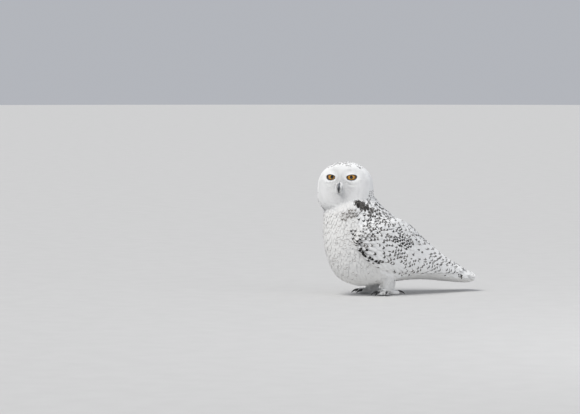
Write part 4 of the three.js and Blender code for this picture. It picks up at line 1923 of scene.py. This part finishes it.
@dataclass
class Eyes:
    """Both eyes: a glossy ball with its iris and pupil, and the lids round it."""

    frame: HeadFrame
    skin: Skin
    radius: float = 14.3
    bulge: float = 0.3
    opening: tuple[float, float] = (12.2, 6.7)
    gaze: tuple[float, float] = (math.radians(14), math.radians(-5))
    sink: float = 2.4
    scales: tuple[float, ...] = (1.03, 1.0, 1.02, 1.07, 1.14, 1.21, 1.32, 1.52, 1.78, 1.78, 1.2)
    proud: tuple[float, ...] = (-1.2, 0.1, 0.75, 0.95, 0.55, -0.1, -0.8, -1.2, -2.0, -5.0, -8.0)
    rim: tuple[float, ...] = (0.0, 0.0, 0.0, 0.1, 0.25, 0.45, 0.9, 1.0, 1.0, 1.0, 1.0)
    to_face: tuple[float, ...] = (0.0, 0.0, 0.1, 0.3, 0.5, 0.8, 1.0, 1.0, 1.0, 1.0, 0.5)

    def axes(self, side: Side, turn: float) -> tuple[Array, Array, Array]:
        """The eye's centre and its axes across and out, in the bird's frame.

        Args:
            side: the eye's side.
            turn: how far the outward axis is turned from straight ahead, to the eye's own side.

        Returns:
            The centre, the direction across and the direction out; the third axis is UP.
        """
        across, forward, up = self.frame.eye
        centre = self.frame.out(np.array([side.value * across, forward, up]))
        out = self.frame.way(np.array([side.value * math.sin(turn), -math.cos(turn), 0.0]))
        return centre, unit(np.cross(UP, out)), out

    def ball(self, side: Side, name: str) -> bpy.types.Object:
        """The eyeball, as rings from back to front, turned to its gaze.

        It is a sphere that bulges a little inside the iris and sinks above and below the lids'
        opening.

        Args:
            side: the eye's side.
            name: the piece's name.

        Returns:
            The object.
        """
        centre, across, out = self.axes(side, self.gaze[0] if side is Side.LEFT else self.gaze[1])
        polar = np.linspace(math.pi - 0.06, 0.04, 40)
        turn = np.linspace(0, 2 * math.pi, 48, endpoint=False)
        p, a = np.meshgrid(polar, turn, indexing="ij")
        height = np.sin(p) * np.sin(a) * self.radius
        hidden = (ease(height, 5.9, 7.4) + ease(-height, 7.3, 9.4)) * (p < 1.6)
        radius = self.radius + self.bulge * ease(p, 0.95, 0.35) - self.sink * hidden
        round_axis = across * np.cos(a)[..., None] + UP * np.sin(a)[..., None]
        rings = centre + (np.sin(p) * radius)[..., None] * round_axis + (np.cos(p) * radius)[..., None] * out
        piece = tube_mesh(name, rings)
        ring = np.where(p < math.pi / 2, np.sin(p), 1.0).ravel()
        carry(piece, "ring", np.concatenate([ring, [1.0, 0.0]]))
        spokes = np.stack([np.cos(a).ravel(), np.sin(a).ravel()], axis=1) * 5.0 + (ring * 0.7)[:, None]
        spokes = np.vstack([spokes, np.zeros((2, 2))])
        corner = np.empty(len(piece.data.loops), np.int32)
        piece.data.loops.foreach_get("vertex_index", corner)
        layer = piece.data.uv_layers.new(name="spokes")
        layer.data.foreach_set("uv", spokes[corner].astype(np.float32).ravel())
        return piece

    def outlines(self, side: Side, a: Array) -> tuple[Array, Array]:
        """Places across and up on the lids, by ring and by angle.

        The opening is an almond: half width times cos a, and half height times sin a to the
        power 0.85, flatter above than below, with its inner corner drawn down. Each ring beyond
        it is further out by its scale, less so up and down.

        Args:
            side: the eye's side.
            a: the angles.

        Returns:
            Across and up.
        """
        wide, high = self.opening
        x = wide * np.cos(a)
        y = high * signed_power(np.sin(a), np.array(0.85)) * np.where(np.sin(a) > 0, 0.84, 1.02)
        y = y + 0.8 * side.value * x / wide
        grow = (np.array(self.scales) - 1)[:, None] * wide
        way = unit(np.stack([x, y * 1.6], axis=1)) * np.array([1.0, 0.72])
        return x[None] + grow * way[:, 0][None], y[None] + grow * way[:, 1][None]

    def lids(self, side: Side, name: str) -> bpy.types.Object:
        """The lids as one ring: from a hidden edge on the ball, over a rounded margin, to the face.

        Args:
            side: the eye's side.
            name: the piece's name.

        Returns:
            The object.
        """
        centre, across, out = self.axes(side, self.frame.eye_splay)
        a = np.linspace(0, 2 * math.pi, 56, endpoint=False)
        px, py = self.outlines(side, a)
        flat = px**2 + py**2
        sunk = 1.3 * ease(np.abs(py), 8.6, 11.0)
        on_ball = np.sqrt(np.clip((self.radius + self.bulge - sunk) ** 2 - flat, 4.0, None))
        plane = centre + px[..., None] * across + py[..., None] * UP
        start = (plane + 60 * out).reshape(-1, 3)
        met, _, found = self.skin.outer.met(start, np.tile(-out, (len(start), 1)))
        on_face = ((met - centre) @ out).reshape(px.shape)
        on_face = np.where(found.reshape(px.shape), on_face, on_ball)
        share = np.array(self.to_face)[:, None]
        depth = on_ball * (1 - share) + np.maximum(on_ball, on_face) * share
        depth = depth + np.array(self.proud)[:, None]
        points = plane + depth[..., None] * out
        rings, around = px.shape
        wall = grid_faces(rings, around, True)
        last = (rings - 1) * around
        k = np.arange(around)
        seam = np.stack([last + k, last + (k + 1) % around, (k + 1) % around, k], axis=1)
        faces = np.ascontiguousarray(np.vstack([wall, seam])[:, ::-1])
        piece = make_mesh(name, points.reshape(-1, 3), faces)
        carry(piece, "rim", np.repeat(self.rim, around))
        return piece

    def build(self) -> None:
        """Makes both eyes and both pairs of lids."""
        gloss, lid = EyeGloss().material(), LidSkin().material()
        for side in Side:
            name = side.name.lower()
            settle(self.ball(side, f"eyeball_{name}"), Slot.EYE, gloss, f"eye_{name}")
            settle(self.lids(side, f"eyelids_{name}"), Slot.HORN, lid)


def horn_tube(name: str, rings: Array, share: Array) -> bpy.types.Object:
    """A tube whose vertices carry their share of the way along it, as horn's finish needs.

    Args:
        name: the piece's name.
        rings: the tube's rings.
        share: each ring's share of the way.

    Returns:
        The object.
    """
    piece = tube_mesh(name, rings)
    carry(piece, "along", np.concatenate([np.repeat(share, rings.shape[1]), [share[0], share[-1]]]))
    return piece


@dataclass
class Bill:
    """The black bill: a hooked upper half over a shorter lower half."""

    frame: HeadFrame
    upper: Stations = (
        (51, 4, 5.6, 7.4),
        (60, 2.5, 5.2, 7.0),
        (67.5, -3, 4.4, 5.8),
        (71.5, -11, 3.2, 3.8),
        (71.5, -19.5, 0.9, 1.1),
    )
    lower: Stations = ((52, -13, 5.0, 3.4), (61, -14.5, 4.2, 3.2), (68.0, -17.0, 2.0, 1.4))

    def half(self, name: str, stations: Stations, keel: float) -> bpy.types.Object:
        """One half: ellipses on a curve, the upper one drawn up to a blunt keel along its ridge.

        Args:
            name: the piece's name.
            stations: forward, up, half width and half height at each station.
            keel: how far the ridge stands over the ellipse, as a share of the half height.

        Returns:
            The object.
        """
        share = np.linspace(0, 1, 34)
        run = Run(stations)
        s, ahead = run(share), run(share + 0.01) - run(share - 0.01)
        level = np.zeros(len(share))
        tangent = unit(np.stack([level, -ahead[:, 0], ahead[:, 1]], axis=1))
        rise = np.cross(tangent, [1.0, 0.0, 0.0])
        turn = np.linspace(0, 2 * math.pi, 28, endpoint=False)
        ridge = 1 + keel * np.exp(-(((turn - math.pi / 2) / 0.45) ** 2))
        x = s[:, None, 2] * np.cos(turn)[None]
        up = s[:, None, 3] * (np.sin(turn) * ridge)[None]
        middle = np.stack([level, -s[:, 0], s[:, 1]], axis=1)
        rings = middle[:, None] + x[..., None] * np.array([1.0, 0, 0]) + up[..., None] * rise[:, None]
        return horn_tube(name, self.frame.out(rings), share)

    def build(self) -> None:
        """Makes both halves."""
        # The blue-grey towards the bill's root is a painted highlight on the black horn.
        horn = Horn("bill_horn", root=(0.20, 0.215, 0.24), fade=(0.35, 0.80)).material()
        settle(self.half("bill_top", self.upper, 0.10), Slot.HORN, horn, "bill_upper")
        settle(self.half("bill_under", self.lower, 0.0), Slot.HORN, horn, "bill_lower")


@dataclass
class Claws:
    """The eight black claws, each a tapering arc."""

    long: float = 26.0
    thick: float = 3.6
    blunt: float = 0.3
    let_in: float = 6.0
    height: float = 9.4
    rise: float = math.radians(12)
    bend: float = math.radians(70)
    whole_bend: float = math.radians(80)

    def claw(self, name: str, side: Side, toe: Toe) -> bpy.types.Object:
        """One claw: circles of half width thick (1 - s)^0.75 on an arc that rises, then turns down.

        Args:
            name: the piece's name.
            side: the claw's side.
            toe: the toe that it ends.

        Returns:
            The object.
        """
        way = toe.way()
        s = np.linspace(0, 1, 26)
        angle = self.bend * s - self.rise
        radius = self.long / self.whole_bend
        root = np.array([*ANKLE, 0.0]) + way * (toe.long - self.let_in)
        root[2] = self.height
        ahead = (np.sin(angle) + math.sin(self.rise)) * radius
        up = (np.cos(angle) - math.cos(self.rise)) * radius
        middle = root + way * ahead[:, None] + UP * up[:, None]
        tangent = way * np.cos(angle)[:, None] - UP * np.sin(angle)[:, None]
        across = unit(np.cross(way, UP))
        over = np.cross(across, tangent)
        half = self.thick * (1 - s) ** 0.75 + self.blunt
        turn = np.linspace(0, 2 * math.pi, 18, endpoint=False)
        ring = np.cos(turn)[None, :, None] * across * 0.8 - np.sin(turn)[None, :, None] * over[:, None]
        rings = (middle[:, None] + ring * half[:, None, None]) * np.array([side.value, 1, 1])
        if side is Side.RIGHT:
            rings = rings[:, ::-1]
        rings[..., 2] = np.maximum(rings[..., 2], GROUND_GAP)
        return horn_tube(name, rings, s)

    def build(self) -> None:
        """Makes all eight."""
        horn = Horn("claw_horn").material()
        for side in Side:
            for key, toe in TOES.items():
                name = f"{side.name.lower()}_{key}"
                settle(self.claw(f"talon_{name}", side, toe), Slot.HORN, horn, f"claw_{name}")


# ---------------------------------------------------------------- markings


@dataclass(frozen=True)
class Patch:
    """An ellipse on the bird's flank: its centre, its fall towards the tail and its half sizes.

    The flank is read by its distance back, 0.47 |x| + 0.883 y, and its height.
    """

    back: float
    high: float
    fall: float
    long: float
    wide: float

    def share(self, at: Array) -> Array:
        """How far inside the ellipse each place is: 0 beyond 1.15 of its sizes, 1 within 0.7.

        Args:
            at: places in the bird's frame.

        Returns:
            The shares.
        """
        back = 0.47 * np.abs(at[:, 0]) + 0.883 * at[:, 1] - self.back
        high = at[:, 2] - self.high
        c, s = math.cos(math.radians(self.fall)), math.sin(math.radians(self.fall))
        long, wide = (back * c - high * s) / self.long, (back * s + high * c) / self.wide
        return ease(np.hypot(long, wide), 1.15, 0.7)


@dataclass
class Markings:
    """Where the plumage is marked: white face and breast, barred back and wing coverts."""

    head: HeadFrame
    chance: np.random.Generator
    strokes: Patch = Patch(41, 242, 35, 33, 26)
    shoulder: Patch = Patch(20, 190, 10, 34, 12)
    middle: Patch = Patch(55, 206, 38, 62, 26)
    throat: Patch = Patch(11, 255, 33, 26, 11)
    throat_end: Patch = Patch(24, 265, 12, 19, 7)
    throat_fine: Patch = Patch(11, 255, 33, 25, 10)
    front_edge: Patch = Patch(-9, 166, 78, 30, 9)
    collar: Patch = Patch(-22, 230, -24, 31, 12)
    dense: Patch = Patch(123, 156, 32, 46, 17)
    fine: Patch = Patch(108, 182, 40, 28, 20)
    rear: Patch = Patch(164, 133, 40, 28, 15)
    wrist: Patch = Patch(-2, 152, 75, 38, 16)
    wrist_end: Patch = Patch(10, 124, 45, 22, 14)
    low: Patch = Patch(40, 110, 35, 40, 16)
    inner: Patch = Patch(45, 150, 40, 85, 52)

    def some(self, count: int, share: Array) -> Array:
        """Truths by chance, true for the share given."""
        return self.chance.random(count) < share

    def crown(self, roots: Roots) -> None:
        """Small dark flecks on the crown and nape, and a few at the face's lower rim.

        Args:
            roots: the head's roots.
        """
        x, y, z = self.head.into(roots.at).T
        aside = np.abs(x)
        n = len(roots.at)
        on_top = ease(z, 40, 52) * 0.64 * (1 - 0.6 * ease(x, 8, 26) * (y < 12))
        on_top *= ease(-y, 50, 40)
        nape = ease(y, 8, 40) * 0.24
        rim = ease(-z, 34, 50) * ease(aside, 40, 58) * 0.35
        cheek = ease(aside, 60, 68) * ease(z, -52, -40) * ease(z, 0, -12) * 0.28
        fleck = self.some(n, np.max([on_top, nape, rim, cheek], axis=0))
        roots.mark = np.where(fleck, 0.65 + 0.35 * self.chance.random(n), 0.0)
        roots.bar_at = np.full(n, 0.82)
        roots.bar_half = 0.08 + 0.06 * self.chance.random(n)
        roots.bar_span = 0.45 + 0.4 * self.chance.random(n)
        self.by_throat(roots)

    def by_throat(self, roots: Roots) -> None:
        """Blackens some of the fine feathers over the dark patch beside the throat, by a ripple; the patch
        is partly dark feathers, partly painted shadow in the fold where the head turns.

        Args:
            roots: roots of the head or the face.
        """
        ripple = 0.5 + 0.5 * np.sin(roots.at @ np.array([1.9, 2.3, 3.1]))
        patch = self.throat_fine.share(roots.seen()) > 0.3 + 0.65 * ripple
        roots.put(patch, mark=0.95 - 0.35 * ripple, bar_half=0.45, bar_span=1.3)

    def body(self, roots: Roots, station: Array, degrees: Array) -> None:
        """Bars on the back, a dusky collar under the cheek, and faint crescents on the breast; the collar is
        partly dark feather bases, partly painted shade in the crease between throat and shoulder.

        Args:
            roots: the body's roots.
            station: their places along the body.
            degrees: their angles from the back's midline, with a sign.
        """
        n = len(roots.at)
        luck = self.chance.random
        angle = np.abs(degrees)
        seen = roots.seen()
        back = ease(angle, 120, 100)
        front = ease(angle, 112, 132)
        strokes, shoulder = self.strokes.share(seen), self.shoulder.share(seen)
        general = 0.42 * back * (1 - 0.5 * ease(station, 5.0, 7.0))
        chance = np.max([0.75 * strokes, 0.85 * shoulder, 0.70 * self.middle.share(seen), general], axis=0)
        chance = np.maximum(chance * back, front * 0.20 * ease(station, 6, 4))
        marked = self.some(n, chance)
        dark = (angle < 114) | (shoulder > 0.3)
        strength = np.where(dark, 0.78 + 0.22 * luck(n), 0.09 + 0.14 * luck(n))
        roots.mark = np.where(marked, strength, 0.0)
        roots.bars = np.where(dark & (luck(n) > 0.7), 2.0, 1.0)
        roots.bar_gap = (6.6 + luck(n)) / roots.long
        roots.bar_at = 0.85 + 0.04 * (luck(n) - 0.5)
        roots.bar_half = np.where(dark, 2.2 + 1.0 * luck(n) + 0.5 * strokes, 0.9) / roots.long
        roots.bar_span = 0.62 + 0.35 * luck(n)
        roots.tone = 0.05 * luck(n)
        # The dark patch beside the throat: partly dark feather bases, partly painted shadow in the fold
        # where the turned head meets the neck.
        patch = self.throat.share(seen) > luck(n) * 0.15
        patch |= self.throat_end.share(seen) > 0.1 + luck(n) * 0.4
        roots.put(patch, mark=0.82 + 0.18 * luck(n), bar_half=0.34, bar_span=1.3, bars=2.0)
        edge = self.front_edge.share(seen) > 0.15 + 0.5 * luck(n)
        roots.put(edge, mark=0.82 + 0.18 * luck(n), bar_half=(2.2 + luck(n)) / roots.long, bar_span=0.85)
        # The collar: partly dark feather bases, partly painted shade in the crease under the cheek; it gives
        # faint dusky marks and greys the feathers.
        band = self.collar.share(seen)
        dusky = (band > 0.2) & ~patch & self.some(n, 0.8)
        roots.put(dusky, mark=0.42 + 0.3 * luck(n), bar_half=0.10, bar_span=1.15)
        roots.tone = np.maximum(roots.tone, 0.8 * band)

    def coverts(self, roots: Roots, share: Array) -> None:
        """Bold bars in the wing's middle, bolder blots at the wrist, few marks on the lower rows.

        Args:
            roots: the coverts' roots.
            share: their places along the wing.
        """
        n = len(roots.at)
        luck = self.chance.random
        seen = roots.seen()
        dense, fine, rear = (patch.share(seen) for patch in (self.dense, self.fine, self.rear))
        wrist = np.maximum(self.wrist.share(seen), self.wrist_end.share(seen))
        low, inner = 0.62 * self.low.share(seen), 0.62 * self.inner.share(seen)
        general = 0.36 + 0.2 * ease(share, 0.25, 0.5)
        chance = [0.80 * dense, 0.80 * fine, 0.72 * rear, 0.9 * wrist, low, inner, general]
        marked = self.some(n, np.max(chance, axis=0))
        bold = np.max([dense, rear, wrist, low * 2], axis=0)
        strength = np.maximum(np.maximum(bold, fine), 0.62 + 0.35 * luck(n))
        roots.mark = np.where(marked, strength, 0.0)
        roots.bars = 1.0 + (luck(n) > 0.75 - 0.5 * wrist)
        roots.bar_gap = 8.8 / roots.long
        roots.bar_at = 0.86 + 0.03 * (luck(n) - 0.5)
        half = 2.1 + 0.8 * bold + 2.2 * wrist * luck(n) + 1.0 * inner + 0.6 * luck(n)
        roots.bar_half = half / roots.long
        roots.bar_span = 0.72 + 0.22 * dense + 0.25 * luck(n)
        roots.tone = 0.05 * luck(n) + 0.03


# ---------------------------------------------------------------- studio


@dataclass
class Studio:
    """A plain pale floor, soft lights and the camera."""

    azimuth: float = math.radians(62)
    elevation: float = math.radians(3)
    away: float = 9.0
    frame_wide: float = 1.624
    aim: tuple[float, float] = (-0.1876, 0.2464)
    sensor: float = 36.0
    floor_radius: float = 26.0
    floor_drop: float = 0.5
    sky: Colour = (0.90, 0.93, 1.0)
    sky_strength: float = 0.50

    def axes(self) -> tuple[Vector, Vector, Vector]:
        """The camera's right, up and backward directions.

        Returns:
            The three directions.
        """
        ca, sa = math.cos(self.azimuth), math.sin(self.azimuth)
        ce, se = math.cos(self.elevation), math.sin(self.elevation)
        return Vector((ca, sa, 0)), Vector((-sa * se, ca * se, ce)), Vector((sa * ce, -ca * ce, se))

    def add(self, name: str, data: bpy.types.ID) -> bpy.types.Object:
        """Puts a camera's or a lamp's data into the scene as an object.

        Args:
            name: the object's name.
            data: the data.

        Returns:
            The object.
        """
        made = bpy.data.objects.new(name, data)
        bpy.context.scene.collection.objects.link(made)
        return made

    def camera(self) -> None:
        """A long lens at the azimuth and height of view, aimed beside the bird."""
        right, up, back = self.axes()
        data = bpy.data.cameras.new("camera")
        data.sensor_width = self.sensor
        data.lens = self.sensor * self.away / self.frame_wide
        data.clip_end = 200.0
        eye = self.add("camera", data)
        origin = Vector((0.0, BIRD_ORIGIN[1] * MM, 0.0))
        place = origin + right * self.aim[0] + up * self.aim[1] + back * self.away
        eye.matrix_world = Matrix.Translation(place) @ Matrix((right, up, back)).transposed().to_4x4()
        bpy.context.scene.camera = eye

    def floor(self, rings: int = 25, around: int = 96) -> None:
        """A pale disc: rings of growing radius about the bird, a hair below the soles.

        Args:
            rings: the number of rings.
            around: the number of vertices in each.
        """
        radius = np.concatenate([[0.02], np.geomspace(0.1, self.floor_radius, rings - 1)]) / MM
        turn = np.linspace(0, 2 * math.pi, around, endpoint=False)
        x, y = (radius[:, None] * way(turn) for way in (np.cos, np.sin))
        disc = np.stack([x, y, np.full(x.shape, -self.floor_drop)], axis=-1).reshape(-1, 3)
        wall = grid_faces(rings, around, True)[:, ::-1]
        k = np.arange(around)
        cap = np.stack([np.full(around, len(disc)), k, (k + 1) % around], axis=1)
        tris = np.vstack([wall[:, [0, 1, 2]], wall[:, [0, 2, 3]], cap])
        piece = make_mesh("floor", np.vstack([disc, [0, 0, -self.floor_drop]]), np.ascontiguousarray(tris))
        tree = Tree("studio_floor")
        colour = tree.blend(tree.noise(14.0, 4.0), (0.60, 0.597, 0.59), (0.655, 0.652, 0.645))
        look = tree.dress({"Base Color": colour, "Roughness": 0.9, "Specular IOR Level": 0.1})
        piece.data.materials.append(look)

    def light(self) -> None:
        """An overcast sky, a broad sun over the camera's left and a weak square fill on its right."""
        scene = bpy.context.scene
        world = bpy.data.worlds.new("sky")
        world.use_nodes = True
        sky = world.node_tree.nodes["Background"].inputs
        sky["Color"].default_value = (*self.sky, 1)
        sky["Strength"].default_value = self.sky_strength
        scene.world = world
        scene.view_settings.view_transform = "Standard"
        right, _, back = self.axes()
        sun = bpy.data.lights.new("sun", "SUN")
        sun.energy = 2.15
        sun.angle = math.radians(28)
        sun.color = (1.0, 0.985, 0.955)
        fall = right * 0.75 - back * 0.75 - Vector((0, 0, 1.5))
        self.add("sun", sun).rotation_euler = fall.to_track_quat("-Z", "Y").to_euler()
        fill = bpy.data.lights.new("fill", "AREA")
        fill.size = 1.6
        fill.energy = 9.0
        fill.color = (0.95, 0.97, 1.0)
        from_bird = right * 1.6 + back * 1.8 + Vector((0, 0, 0.7))
        lamp = self.add("fill", fill)
        lamp.location = Vector((0, 0, 0.18)) + from_bird
        lamp.rotation_euler = (-from_bird).to_track_quat("-Z", "Y").to_euler()

    def build(self) -> None:
        """Sets the floor, the lights and the camera."""
        self.floor()
        self.light()
        self.camera()


# ---------------------------------------------------------------- the whole bird


class Bird:
    """The whole bird: its skin, and over it the coat in tracts, each settled as one piece."""

    def __init__(self) -> None:
        """Builds the skin and mixes the finishes of the feathers."""
        self.head, self.torso = HeadFrame(), Torso()
        self.wing = FoldedWing(self.torso)
        self.skin = Skin(self.head)
        self.bare = self.skin.build()
        self.feathers = Feathers(self.skin)
        self.markings = Markings(self.head, self.feathers.chance)
        self.white = Plumage("white_feathers", barbs=0.3).material()
        # The barred, breast and long vanes carry painted shade on their rims, for the gaps between
        # overlapping feathers.
        self.barred = Plumage("barred_feathers", edge=0.22).material()
        # The breast's pale and shade are darker than the other white feathers': painted shade, for the
        # lesser light that falls on the breast.
        self.breast = Plumage(
            "breast_feathers", pale=(0.80, 0.795, 0.78), shade=(0.55, 0.54, 0.525), barbs=0.3, edge=0.06
        ).material()
        self.soft = Plumage("leg_feathers", pale=(0.86, 0.86, 0.85), roughness=0.88, barbs=0.2).material()
        self.long_vanes = Plumage(
            "long_feathers", shade=(0.50, 0.485, 0.47), roughness=0.68, barbs=0.3, edge=0.35
        ).material()

    def body(self, front_from: float = 112.0) -> None:
        """The neck and body, parted into breast and back at an angle from the back's midline.

        Args:
            front_from: the angle where the breast starts, in degrees.
        """
        coat = BodyCoat(self.torso, self.feathers)
        roots, station, degrees = coat.roots()
        self.markings.body(roots, station, degrees)
        front = np.abs(degrees) > front_from
        breast = self.feathers.grow("breast_feathers", roots.take(front), coat.vane)
        settle(breast, Slot.WHITE, self.breast)
        back = self.feathers.grow("back_feathers", roots.take(~front), coat.vane)
        settle(back, Slot.BARRED, self.barred)

    def face_and_crown(self) -> None:
        """The head's close coat, the face and the bristles."""
        crown = HeadCoat(self.head, self.feathers)
        roots = crown.roots()
        self.markings.crown(roots)
        settle(self.feathers.grow("head_feathers", roots, crown.vane), Slot.WHITE, self.white)
        face = FaceCoat(self.head, self.feathers)
        roots = face.roots()
        self.markings.by_throat(roots)
        settle(self.feathers.grow("face_feathers", roots, face.vane, -0.4), Slot.WHITE, self.white)
        settle(Bristles(self.head, self.feathers).build(), Slot.WHITE, self.white)

    def flank(self, side: Side) -> None:
        """One side's wing, leg and toes.

        Args:
            side: the side to feather.
        """
        name, grow = side.name.lower(), self.feathers.grow
        coverts = WingCoverts(self.wing, self.feathers, side)
        roots, share, _ = coverts.roots()
        self.markings.coverts(roots, share)
        settle(FlightFeathers(self.wing, self.feathers, side).build(), Slot.BARRED, self.long_vanes)
        settle(grow(f"wing_coverts_{name}", roots, coverts.vane, 0.6), Slot.BARRED, self.barred)
        legs = LegCoat(self.feathers)
        for part, roots in (("leg", legs.leg_roots(side.value)), ("toe", legs.toe_roots(side.value))):
            settle(grow(f"{part}_feathers_{name}", roots, legs.vane, 0.2), Slot.LEG, self.soft)

    def build(self) -> None:
        """Grows the coat tract by tract, then dresses the skin and adds eyes, bill and claws."""
        self.body()
        self.face_and_crown()
        for side in Side:
            self.flank(side)
        settle(TailFan(self.torso, self.feathers).build(), Slot.BARRED, self.long_vanes)
        places, marks = zip(*self.feathers.grown)
        self.skin.paint(self.bare, np.vstack(places), np.concatenate(marks))
        settle(self.bare, Slot.WHITE, Down().material(), *self.skin.flesh)
        Eyes(self.head, self.skin).build()
        Bill(self.head).build()
        Claws().build()


def main() -> None:
    """Builds the studio and the bird."""
    logging.basicConfig(level=logging.INFO, format="%(name)s %(message)s")
    Studio().build()
    Bird().build()
    total = sum(len(p.data.polygons) * 2 for p in bpy.context.scene.objects if p.type == "MESH")
    log.info("about %d triangles in the scene", total)


if __name__ == "__main__":
    main()
